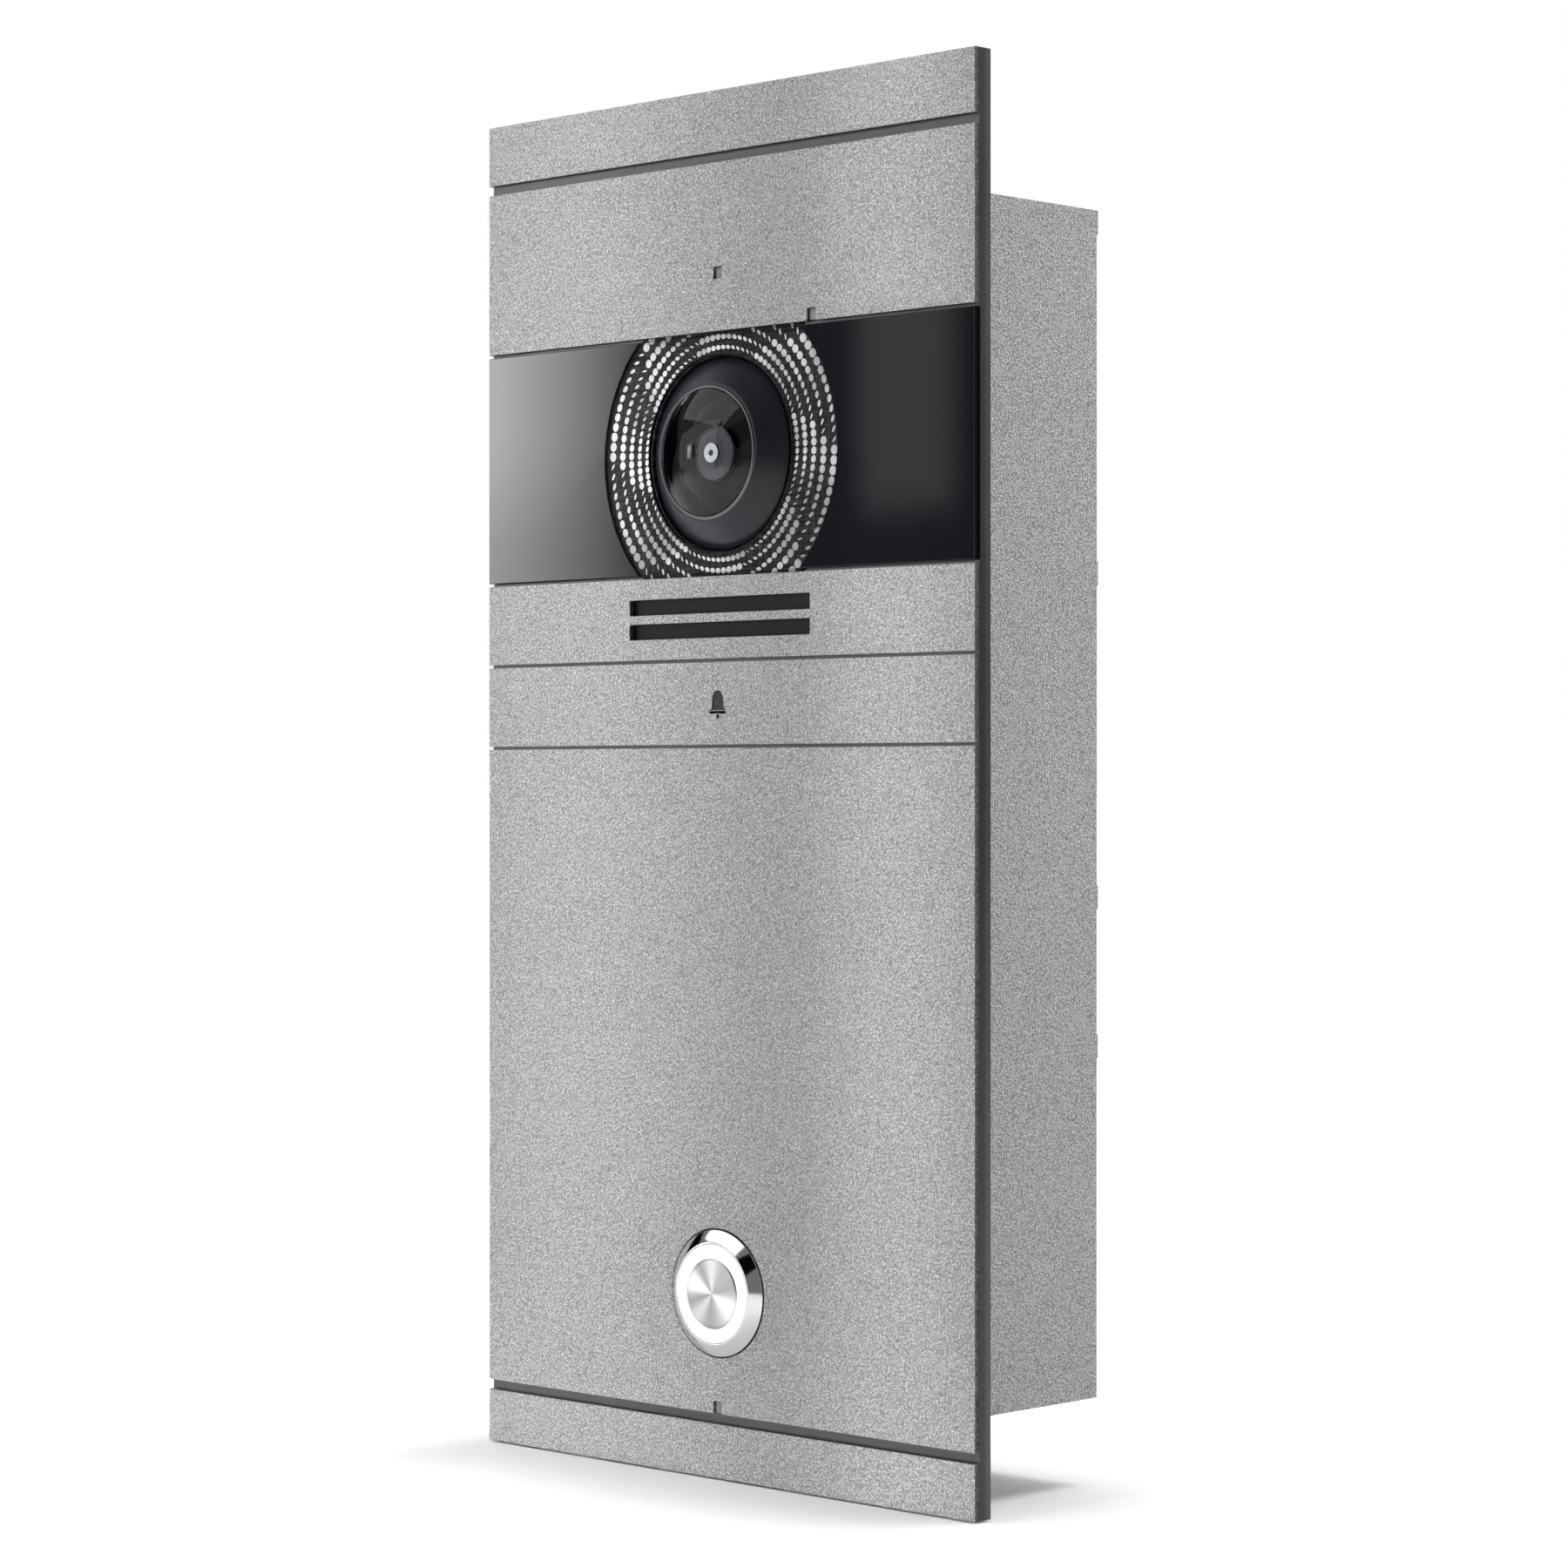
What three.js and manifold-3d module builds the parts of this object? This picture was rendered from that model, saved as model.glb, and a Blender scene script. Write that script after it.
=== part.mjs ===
// A flush-mounted video door station: powder-coated plates and a camera window on a metal carrier, with
// the camera, loudspeaker, microphone, ring-lit call button and electronics behind it, in a wall box.
// Millimetres, +Z up, the front faces -Y. The origin is the middle of the wall box's rear face.

import * as THREE from "three";
import { mergeVertices } from "three/addons/utils/BufferGeometryUtils.js";
import Module from "manifold-3d";

const wasm = await Module();
wasm.setup();

// ---------------------------------------------------------------------------------------------------
// Driving dimensions
// ---------------------------------------------------------------------------------------------------

const panel = { width: 148, height: 300 };

// The front from the top down. The lower plate takes the height that is left.
const rows = { topStrip: 13.4, upper: 36.5, window: 51.5, speaker: 17.9, name: 17.9, bottomStrip: 11.7 };
const wideGroove = 2.2;
const joint = 0.7;
const plate = { thickness: 1.3, bond: 0.1 };
const glass = { thickness: 1.6, pocketGap: 0.2 };
const carrier = { thickness: 3.5 };
const gasket = { thickness: 0.8, inset: 2, boxGap: 0.5 };
const stud = { radius: 1.9, length: 3.1, play: 0.15, edge: 8, endRow: 9 };
const notch = { width: 2.5, height: 2.7, windowSide: 28 };

const box = { depth: 47.5, wall: 1.2, sideRim: 12, topRim: 26.8, bottomRim: 18.2, seam: 0.1 };
const backTab = { length: 5.2, height: 0.45, drops: [2.6, 78, 147.5, 179.5] };
const wallHole = { radius: 2.6, side: 16, end: 34 };
const lug = { coverGap: 1, height: 10, thickness: 2, front: 1, fromTop: 8.2, fromBottom: 9.6 };

const reflector = { radius: 35.7, thickness: 0.8, behindGlass: 1, underPlate: 2, play: 0.4 };
const bezel = { rim: 1.1, flare: 5.8, rise: 3.2, sink: 1.6, wellGap: 0.6 };
const trim = { width: 0.7, height: 0.35 };
const dome = { radius: 13.7, bulge: 4, edge: 2, middle: 2.3, seat: 2, play: 0.2 };
const barrel = { inset: 1.7, rear: 12.3, lensBore: 6, throat: 3, sensorBore: 8 };
const innerLens = { bulge: 1.6, edge: 1.6, play: 0.1 };
const aperture = { inner: 0.7, outer: 2.1, thickness: 0.25, gap: 0.05 };
const housing = { side: 3.9, margin: 1, flange: 2, tubeWall: 2, tubeRear: 12.9 };
const irBoard = { thickness: 1, ledSize: 2.8, ledHeight: 0.4, ledAngles: [15, 45] };
const sensor = { board: 30, thickness: 1.2, chip: 8, chipHeight: 0.8 };

const slot = { length: 55, height: 3.4, pitch: 5.35 };
const mesh = { margin: 0.8, side: 2.5, thickness: 0.65, pocket: 0.8, play: 0.4 };
const speaker = { radius: 18, seal: 1.4, flange: 1.2, depth: 6.2, magnetRadius: 12.5, magnetDepth: 5 };
const cone = { radius: 12.8, neck: 6.6, depth: 3.5, paper: 0.4, coilLength: 4.2, coilWall: 0.5, gap: 0.4 };
const microphone = { drop: 39.5, port: 2.6, bore: 1.5, boot: 5, depth: 5.7, capsule: 3, length: 3.3 };

const button = { rise: 40, rim: 0.35, shoulder: 1.4, height: 1.8, plateGap: 0.3 };
const bush = { wall: 0.8, fit: 0.2, lipDepth: 2, rear: 12, holeGap: 0.3, seal: 0.3 };
const plunger = { ring: 2.83, flange: 0.75, flangeDepth: 1.4, skirtStep: 0.55, skirt: 1.4, rear: 1, web: 1 };
const cap = { radius: 7.6, thickness: 1.1, stem: 1.9, play: 0.12 };
const travel = { button: 1.5 };
const coil = { inset: 2, wire: 0.9, turns: 4.5 };
const nut = { wall: 2.7, thickness: 4 };
const microSwitch = { play: 0.3, front: 6.2, rear: 14.5, stem: 1.4, stemPlay: 0.2, ledBoard: 1 };

const board = { thickness: 1.6, front: 11.4, margin: 3, side: 2.7, screwInset: 5, screwHole: 1.8 };
const cover = { wall: 1.8, rear: 26, sideRoom: 4.2, topGap: 4, bottomGap: 2 };
const post = { radius: 3.4, hole: 1.7 };
const terminal = { width: 33, height: 12, rear: 27.5, gap: 4, poles: 6, wireHole: 1.2, fromBottom: 16 };
const shield = { size: 26, height: 2.6 };
const relay = { width: 19, height: 15, depth: 9 };
const capacitor = { radius: 4, length: 8 };
const flex = { width: 10, thickness: 0.3 };
const lead = { radius: 0.9 };

const panelScrew = { head: 3.8, shaft: 1.95, hole: 2.2, sink: 2.1, length: 12, socket: 1.3, depth: 1.3 };
const coverScrew = { head: 2.9, headHeight: 1.9, shaft: 1.45, grip: 3.4 };
const grommet = { hole: 10.3, neck: 10, flange: 12.5, bore: 3.5, lipThickness: 1.4, fromBack: 16 };
const clearance = 0.1;

// ---------------------------------------------------------------------------------------------------
// Places that follow from them. In the front group y = 0 is the wall's face and z = 0 the panel's middle.
// ---------------------------------------------------------------------------------------------------

const halfPanel = { x: panel.width / 2, z: panel.height / 2 };
const carrierRear = -gasket.thickness;
const carrierFront = carrierRear - carrier.thickness;
const plateRear = carrierFront - plate.bond;
const plateFront = plateRear - plate.thickness;
const glassRear = plateFront + glass.thickness;

function stacked(top, height, below) {
  return { top, bottom: top - height, next: top - height - below };
}
const topStrip = stacked(halfPanel.z, rows.topStrip, wideGroove);
const upperPlate = stacked(topStrip.next, rows.upper, joint);
const window = stacked(upperPlate.next, rows.window, joint);
const speakerPlate = stacked(window.next, rows.speaker, joint);
const namePlate = stacked(speakerPlate.next, rows.name, joint);
const bottomStrip = stacked(rows.bottomStrip - halfPanel.z, rows.bottomStrip, 0);
const lowerPlate = { top: namePlate.next, bottom: bottomStrip.top + wideGroove };

const boxHalf = {
  x: halfPanel.x - box.sideRim,
  z: (panel.height - box.topRim - box.bottomRim) / 2,
};
const boxMiddle = (box.bottomRim - box.topRim) / 2;
const boxTop = boxMiddle + boxHalf.z;
const boxBottom = boxMiddle - boxHalf.z;
const lugRows = [boxTop - lug.fromTop, boxBottom + lug.fromBottom];

// The call button from its middle outwards.
const plungerRadius = cap.radius + cap.play + plunger.ring;
const flangeRadius = plungerRadius + plunger.flange;
const skirtRadius = plungerRadius - plunger.skirtStep;
const skirtInner = skirtRadius - plunger.skirt;
const lipRadius = plungerRadius + bush.fit;
const boreRadius = flangeRadius + bush.fit;
const bushRadius = boreRadius + bush.wall;
const headRadius = bushRadius + button.shoulder;
const nutHalf = bushRadius + nut.wall;

// The lens from its glass outwards.
const seatRadius = dome.radius + dome.play;
const bezelTopRadius = seatRadius + bezel.rim;
const bezelRadius = bezelTopRadius + bezel.flare;
const barrelRadius = dome.radius - barrel.inset;

const lensZ = (window.top + window.bottom) / 2;
const buttonZ = button.rise - halfPanel.z;
const microphoneZ = halfPanel.z - microphone.drop;
const slotZ = (speakerPlate.top + speakerPlate.bottom) / 2;
const reflectorFlat = rows.window / 2 + reflector.underPlate;
const reflectorFront = glassRear + reflector.behindGlass;
const reflectorRear = reflectorFront + reflector.thickness;
const housingFront = carrierRear + clearance;
const housingHalfZ = reflectorFlat + reflector.play + housing.margin;
const speakerZ = lensZ - housingHalfZ - housing.margin - speaker.radius;

const housingHalfX = reflector.radius + reflector.play + housing.side;
const coverHalfX = housingHalfX + cover.sideRoom + cover.wall;
const lugSide = (coverHalfX + boxHalf.x - box.wall) / 2;
const coverTop = boxTop - box.wall - cover.topGap;
const coverBottom = boxBottom + box.wall + cover.bottomGap;
const boardTop = speakerZ - speaker.radius - board.margin;
const boardBottom = buttonZ + nutHalf + board.margin;
const boardHalfX = coverHalfX - cover.wall - board.side;
const boardRear = board.front + board.thickness;
const terminalZ = boardBottom + terminal.fromBottom;
const boardCorners = [-1, 1].flatMap((side) =>
  [boardTop - board.screwInset, boardBottom + board.screwInset].map((z) => ({
    x: side * (boardHalfX - board.screwInset),
    z,
  })),
);

const FINE = 40;
const COARSE = 20;

// ---------------------------------------------------------------------------------------------------
// Materials
// ---------------------------------------------------------------------------------------------------

function finish(color, roughness, metalness) {
  return new THREE.MeshStandardMaterial({ color, roughness, metalness });
}
const powderCoat = finish("#b4b4b4", 0.5, 0.35);
const carrierMetal = finish("#77787a", 0.3, 1);
const blackGlass = finish("#15171a", 0.05, 0);
const clearGlass = finish("#20242a", 0.02, 0);
const blackMetal = finish("#111216", 0.3, 0.9);
const chrome = finish("#e4e4e6", 0.08, 1);
const steel = finish("#bdbdc0", 0.3, 1);
const litPlastic = finish("#ffffff", 0.4, 0);
const blackPlastic = finish("#1b1b1d", 0.5, 0);
const greenBoard = finish("#1f5a36", 0.5, 0);
const rubber = finish("#202021", 0.85, 0);
const greenPlastic = finish("#2f8f4a", 0.45, 0);
const paper = finish("#3a3a3c", 0.9, 0);
const copper = finish("#b06a3a", 0.35, 1);
const amberFilm = finish("#9a5a1e", 0.4, 0);
const printed = finish("#8d8f90", 0.5, 0.2);

// ---------------------------------------------------------------------------------------------------
// Shapes
// ---------------------------------------------------------------------------------------------------

function solidOf(geometry) {
  const source = geometry.index ? geometry.toNonIndexed() : geometry;
  const bare = new THREE.BufferGeometry().setAttribute("position", source.getAttribute("position"));
  const merged = mergeVertices(bare, 1e-4);
  const corners = merged.index.array;
  const kept = [];
  for (let i = 0; i < corners.length; i += 3) {
    const [a, b, c] = [corners[i], corners[i + 1], corners[i + 2]];
    if (a !== b && b !== c && a !== c) kept.push(a, b, c);
  }
  const vertProperties = new Float32Array(merged.getAttribute("position").array);
  return new wasm.Manifold(
    new wasm.Mesh({ numProp: 3, vertProperties, triVerts: new Uint32Array(kept) }),
  );
}

function geometryOf(solid) {
  const out = solid.getMesh();
  const geometry = new THREE.BufferGeometry();
  geometry.setAttribute("position", new THREE.BufferAttribute(new Float32Array(out.vertProperties), 3));
  geometry.setIndex(new THREE.BufferAttribute(new Uint32Array(out.triVerts), 1));
  geometry.computeVertexNormals();
  return geometry;
}

const joined = (...parts) => geometryOf(parts.map(solidOf).reduce((a, b) => a.add(b)));
const cut = (part, ...tools) => geometryOf(tools.map(solidOf).reduce((a, b) => a.subtract(b), solidOf(part)));
const shared = (a, b) => geometryOf(solidOf(a).intersect(solidOf(b)));

// A box between two corners: x0 to x1, y0 to y1, z0 to z1.
function block(x0, x1, y0, y1, z0, z1) {
  const geometry = new THREE.BoxGeometry(x1 - x0, y1 - y0, z1 - z0);
  return geometry.translate((x0 + x1) / 2, (y0 + y1) / 2, (z0 + z1) / 2);
}

// A round bar along Y through (x, z).
function rod(radius, y0, y1, x = 0, z = 0, sides = COARSE) {
  return new THREE.CylinderGeometry(radius, radius, y1 - y0, sides).translate(x, (y0 + y1) / 2, z);
}

// A turned solid about the Y axis through (0, z). Its profile is a closed outline of [radius, y] points.
function turned(profile, z = 0, sides = COARSE) {
  const area = profile.reduce((sum, [r, y], i) => {
    const [nextR, nextY] = profile[(i + 1) % profile.length];
    return sum + r * nextY - nextR * y;
  }, 0);
  const outline = area > 0 ? [...profile] : [...profile].reverse();
  const onAxis = outline.filter(([r]) => r === 0);
  if (onAxis.length === 2) {
    while (outline[0][0] !== 0 || outline.at(-1)[0] !== 0) outline.push(outline.shift());
  } else {
    outline.push(outline[0]);
  }
  const points = outline.map(([r, y]) => new THREE.Vector2(r, y));
  return new THREE.LatheGeometry(points, sides).translate(0, 0, z);
}

// Points of a shallow arc from [r0, y0] on the axis side to [r1, y1] on the rim, both ends included.
function capArc(apex, rimRadius, rimY, steps) {
  const rise = Math.abs(rimY - apex);
  const radius = (rimRadius ** 2 + rise ** 2) / (2 * rise);
  const span = Math.asin(rimRadius / radius);
  const side = Math.sign(rimY - apex);
  return Array.from({ length: steps + 1 }, (_, i) => {
    const angle = (span * i) / steps;
    const r = i === steps ? rimRadius : radius * Math.sin(angle);
    return [i === 0 ? 0 : r, i === steps ? rimY : apex + side * radius * (1 - Math.cos(angle))];
  });
}

// A round lead through the given points, with flat ends.
function tube(points, radius, steps) {
  const path = new THREE.CatmullRomCurve3(points.map((p) => new THREE.Vector3(...p)));
  const section = new THREE.Shape().absarc(0, 0, radius, 0, 2 * Math.PI);
  const options = { steps, extrudePath: path, curveSegments: 3, bevelEnabled: false };
  return new THREE.ExtrudeGeometry(section, options);
}

const root = new THREE.Group();
const front = new THREE.Group();
front.position.set(0, -box.depth, -boxMiddle);
root.add(front);

function piece(name, geometry, material, group = front) {
  const made = new THREE.Mesh(geometry, material);
  made.name = name;
  group.add(made);
  return made;
}

// ---------------------------------------------------------------------------------------------------
// Front plates, each with studs that push into the carrier
// ---------------------------------------------------------------------------------------------------

const studSide = halfPanel.x - stud.edge;
const middleOf = (row) => [(row.top + row.bottom) / 2];
const endsOf = (row) => [row.top - stud.endRow, row.bottom + stud.endRow];

const plateRows = [
  { name: "top_strip", row: topStrip, studs: middleOf(topStrip) },
  { name: "upper_plate", row: upperPlate, studs: endsOf(upperPlate) },
  { name: "speaker_plate", row: speakerPlate, studs: middleOf(speakerPlate) },
  { name: "name_plate", row: namePlate, studs: middleOf(namePlate) },
  { name: "lower_plate", row: lowerPlate, studs: endsOf(lowerPlate) },
  { name: "bottom_strip", row: bottomStrip, studs: middleOf(bottomStrip) },
];

function studPlaces(studs) {
  return studs.flatMap((z) => [-1, 1].map((side) => ({ x: side * studSide, z })));
}

function plateCuts(name) {
  const [y0, y1] = [plateFront - 1, plateRear + 1];
  const half = notch.width / 2;
  if (name === "upper_plate") {
    const port = microphone.port / 2;
    return [
      block(-port, port, y0, y1, microphoneZ - port, microphoneZ + port),
      block(
        notch.windowSide - half,
        notch.windowSide + half,
        y0,
        y1,
        upperPlate.bottom - 1,
        upperPlate.bottom + notch.height,
      ),
    ];
  }
  if (name === "speaker_plate") {
    return [-1, 1].map((side) => {
      const z = slotZ + (side * slot.pitch) / 2;
      return block(-slot.length / 2, slot.length / 2, y0, y1, z - slot.height / 2, z + slot.height / 2);
    });
  }
  if (name === "lower_plate") {
    return [
      rod(headRadius + button.plateGap, y0, y1, 0, buttonZ, FINE),
      block(-half, half, y0, y1, lowerPlate.bottom - 1, lowerPlate.bottom + notch.height),
    ];
  }
  return [];
}

for (const { name, row, studs } of plateRows) {
  const sheet = block(-halfPanel.x, halfPanel.x, plateFront, plateRear, row.bottom, row.top);
  const pins = studPlaces(studs).map(({ x, z }) =>
    rod(stud.radius, plateRear - plate.thickness / 2, plateRear + stud.length, x, z, 8),
  );
  const studded = joined(sheet, ...pins);
  const tools = plateCuts(name);
  piece(name, tools.length ? cut(studded, ...tools) : studded, powderCoat);
}

piece(
  "camera_window",
  cut(
    block(-halfPanel.x, halfPanel.x, plateFront, glassRear, window.bottom, window.top),
    rod(bezelRadius + bezel.wellGap, plateFront - 1, glassRear + 1, 0, lensZ, FINE),
  ),
  blackGlass,
);

// ---------------------------------------------------------------------------------------------------
// Carrier: the plate that everything is fixed to, and its foam seal against the wall
// ---------------------------------------------------------------------------------------------------

// A disc about the lens axis with its top and bottom cut flat.
function flattenedDisc(radius, flat, y0, y1, sides = FINE) {
  return shared(
    rod(radius, y0, y1, 0, lensZ, sides),
    block(-radius - 1, radius + 1, y0 - 1, y1 + 1, lensZ - flat, lensZ + flat),
  );
}

const screwPlaces = [-1, 1].flatMap((side) => lugRows.map((z) => ({ x: side * lugSide, z })));
const slotsHalf = (slot.pitch + slot.height) / 2;
const through = [carrierFront - 1, carrierRear + 1];

const standoffs = boardCorners.map(({ x, z }) =>
  rod(post.radius, carrierRear - 1, board.front - clearance, x, z, 12),
);
const carrierCuts = [
  block(
    -halfPanel.x - 1,
    halfPanel.x + 1,
    carrierFront - 1,
    glassRear + plate.bond,
    window.bottom - glass.pocketGap,
    window.top + glass.pocketGap,
  ),
  flattenedDisc(reflector.radius + reflector.play, reflectorFlat + reflector.play, ...through),
  block(
    -slot.length / 2 - mesh.side,
    slot.length / 2 + mesh.side,
    carrierFront - 1,
    carrierFront + mesh.pocket,
    slotZ - slotsHalf - mesh.margin - mesh.play,
    slotZ + slotsHalf + mesh.margin + mesh.play,
  ),
  block(-slot.length / 2, slot.length / 2, ...through, slotZ - slotsHalf, slotZ + slotsHalf),
  rod(microphone.bore, ...through, 0, microphoneZ, 16),
  rod(bushRadius + bush.holeGap, ...through, 0, buttonZ, FINE),
  ...plateRows.flatMap(({ studs }) =>
    studPlaces(studs).map(({ x, z }) => rod(stud.radius + stud.play, ...through, x, z, 8)),
  ),
  ...screwPlaces.flatMap(({ x, z }) => [
    rod(panelScrew.hole, ...through, x, z, 16),
    new THREE.CylinderGeometry(panelScrew.hole, panelScrew.head + 0.5, panelScrew.sink + 0.3, 16)
      .translate(x, carrierFront + panelScrew.sink / 2, z),
  ]),
  ...boardCorners.map(({ x, z }) =>
    rod(coverScrew.shaft + clearance, board.front - coverScrew.grip - 1, board.front + 1, x, z, 12),
  ),
];
piece(
  "carrier",
  cut(
    joined(
      block(-halfPanel.x, halfPanel.x, carrierFront, carrierRear, -halfPanel.z, halfPanel.z),
      ...standoffs,
    ),
    ...carrierCuts,
  ),
  carrierMetal,
);

const sealOuter = { x: halfPanel.x - gasket.inset, z: halfPanel.z - gasket.inset };
piece(
  "wall_gasket",
  cut(
    block(-sealOuter.x, sealOuter.x, carrierRear + clearance, 0, -sealOuter.z, sealOuter.z),
    block(
      -boxHalf.x - gasket.boxGap,
      boxHalf.x + gasket.boxGap,
      carrierRear - 1,
      1,
      boxBottom - gasket.boxGap,
      boxTop + gasket.boxGap,
    ),
  ),
  rubber,
);

// ---------------------------------------------------------------------------------------------------
// Camera: reflector and infrared lamps under the window, and the wide-angle lens that stands through it
// ---------------------------------------------------------------------------------------------------

const bezelTop = plateFront - bezel.rise;
const bezelBase = plateFront + bezel.sink;
const domeRim = bezelTop - trim.height;
const domeSeat = domeRim + dome.edge;
const barrelFront = domeSeat + 0.5;
const bezelFoot = housingFront - clearance;

piece(
  "reflector_disc",
  cut(
    flattenedDisc(reflector.radius, reflectorFlat, reflectorFront, reflectorRear),
    rod(bezelRadius + 0.5, reflectorFront - 1, reflectorRear + 1, 0, lensZ, FINE),
  ),
  printed,
);

const rimInner = reflector.radius - 1;
const ledRing = (bezelRadius + rimInner) / 2;
const ledPlaces = irBoard.ledAngles.flatMap((angle) =>
  [angle, 180 - angle, 180 + angle, -angle].map((turn) => {
    const a = THREE.MathUtils.degToRad(turn);
    return { x: ledRing * Math.cos(a), z: lensZ + ledRing * Math.sin(a) };
  }),
);
const irRear = housingFront - clearance;
const irFront = irRear - irBoard.thickness;
const ledHalf = irBoard.ledSize / 2;
piece(
  "ir_board",
  joined(
    cut(
      flattenedDisc(rimInner - 0.3, reflectorFlat - 1.3, irFront, irRear, 32),
      rod(bezelRadius + 0.5, irFront - 1, irRear + 1, 0, lensZ, 32),
    ),
    ...ledPlaces.map(({ x, z }) =>
      block(
        x - ledHalf,
        x + ledHalf,
        irFront - irBoard.ledHeight,
        irFront + 0.2,
        z - ledHalf,
        z + ledHalf,
      ),
    ),
  ),
  greenBoard,
);

piece(
  "lens_bezel",
  turned(
    [
      [bezelTopRadius, bezelTop],
      [bezelRadius, bezelBase],
      [bezelRadius, bezelFoot],
      [barrelRadius + 0.3, bezelFoot],
      [barrelRadius + 0.3, domeSeat + clearance],
      [seatRadius, domeSeat + clearance],
      [seatRadius, bezelTop],
    ],
    lensZ,
    FINE,
  ),
  blackMetal,
);
piece(
  "lens_trim_ring",
  turned(
    [
      [seatRadius + trim.width, bezelTop - 0.02],
      [seatRadius + trim.width, domeRim],
      [seatRadius, domeRim],
      [seatRadius, bezelTop - 0.02],
    ],
    lensZ,
    FINE,
  ),
  chrome,
);

const domeApex = domeRim - dome.bulge;
const domeInner = dome.radius - dome.seat;
piece(
  "lens_dome",
  turned(
    [
      ...capArc(domeApex, dome.radius, domeRim, 4),
      [dome.radius, domeSeat],
      ...capArc(domeApex + dome.middle, domeInner, domeSeat, 3).reverse(),
    ],
    lensZ,
    FINE,
  ),
  clearGlass,
);

const lensSeat = barrelFront + innerLens.edge + 1;
piece(
  "lens_barrel",
  turned(
    [
      [barrelRadius, barrelFront],
      [barrelRadius, barrel.rear],
      [barrel.sensorBore, barrel.rear],
      [barrel.sensorBore, barrel.rear - 4],
      [barrel.throat, barrel.rear - 4],
      [barrel.throat, lensSeat],
      [barrel.lensBore, lensSeat],
      [barrel.lensBore, barrelFront + 0.7],
      [barrel.lensBore + 2.8, barrelFront + 0.7],
      [barrel.lensBore + 3.2, barrelFront],
    ],
    lensZ,
    COARSE,
  ),
  blackPlastic,
);
const innerRadius = barrel.lensBore - innerLens.play;
const innerRear = lensSeat - clearance;
const innerRim = innerRear - innerLens.edge;
piece(
  "inner_lens",
  turned(
    [
      ...capArc(innerRim - innerLens.bulge, innerRadius, innerRim, 4),
      [innerRadius, innerRear],
      [0, innerRear],
    ],
    lensZ,
    COARSE,
  ),
  clearGlass,
);
const apertureRear = innerRim - innerLens.bulge - aperture.gap;
piece(
  "aperture_ring",
  turned(
    [
      [aperture.outer, apertureRear],
      [aperture.outer, apertureRear - aperture.thickness],
      [aperture.inner, apertureRear - aperture.thickness],
      [aperture.inner, apertureRear],
    ],
    lensZ,
  ),
  steel,
);

const housingRear = housingFront + housing.flange;
const tubeInner = barrelRadius + 0.4;
piece(
  "camera_housing",
  cut(
    joined(
      block(
        -housingHalfX,
        housingHalfX,
        housingFront,
        housingRear,
        lensZ - housingHalfZ,
        lensZ + housingHalfZ,
      ),
      cut(
        flattenedDisc(
          reflector.radius + reflector.play - 0.2,
          reflectorFlat + reflector.play - 0.2,
          reflectorRear + clearance,
          housingFront + 0.5,
          32,
        ),
        flattenedDisc(rimInner, reflectorFlat - 1, reflectorFront - 1, housingFront, 32),
      ),
      rod(tubeInner + housing.tubeWall, housingRear - 0.5, housing.tubeRear, 0, lensZ, 32),
    ),
    rod(tubeInner, housingFront - 1, housing.tubeRear + 1, 0, lensZ, 32),
  ),
  blackPlastic,
);

const sensorFront = housing.tubeRear + clearance;
piece(
  "sensor_board",
  joined(
    block(
      -sensor.board / 2,
      sensor.board / 2,
      sensorFront,
      sensorFront + sensor.thickness,
      lensZ - sensor.board / 2,
      lensZ + sensor.board / 2,
    ),
    block(
      -sensor.chip / 2,
      sensor.chip / 2,
      sensorFront - sensor.chipHeight,
      sensorFront + 0.2,
      lensZ - sensor.chip / 2,
      lensZ + sensor.chip / 2,
    ),
  ),
  greenBoard,
);

// ---------------------------------------------------------------------------------------------------
// Loudspeaker and its acoustic mesh, below the camera
// ---------------------------------------------------------------------------------------------------

piece(
  "speaker_mesh",
  block(
    -slot.length / 2 - mesh.side + mesh.play,
    slot.length / 2 + mesh.side - mesh.play,
    carrierFront + mesh.pocket - mesh.thickness - clearance,
    carrierFront + mesh.pocket - clearance,
    slotZ - slotsHalf - mesh.margin,
    slotZ + slotsHalf + mesh.margin,
  ),
  blackMetal,
);

const sealRear = housingFront + speaker.seal;
const frameFront = sealRear + clearance;
const frameInner = speaker.radius - 2.4;
const magnetFront = frameFront + speaker.flange + speaker.depth + clearance;
const frameRear = magnetFront - clearance;
piece(
  "speaker_gasket",
  turned(
    [
      [speaker.radius, housingFront],
      [speaker.radius, sealRear],
      [frameInner, sealRear],
      [frameInner, housingFront],
    ],
    speakerZ,
  ),
  rubber,
);
piece(
  "speaker_frame",
  turned(
    [
      [speaker.radius, frameFront],
      [speaker.radius, frameFront + speaker.flange],
      [speaker.radius - 1.5, frameFront + speaker.flange + 0.6],
      [speaker.magnetRadius, frameRear - 0.6],
      [speaker.magnetRadius, frameRear],
      [speaker.magnetRadius - 1.5, frameRear],
      [speaker.magnetRadius - 1.5, frameRear - 0.8],
      [frameInner, frameFront + speaker.flange + 0.2],
      [frameInner, frameFront],
    ],
    speakerZ,
  ),
  steel,
);

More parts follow.
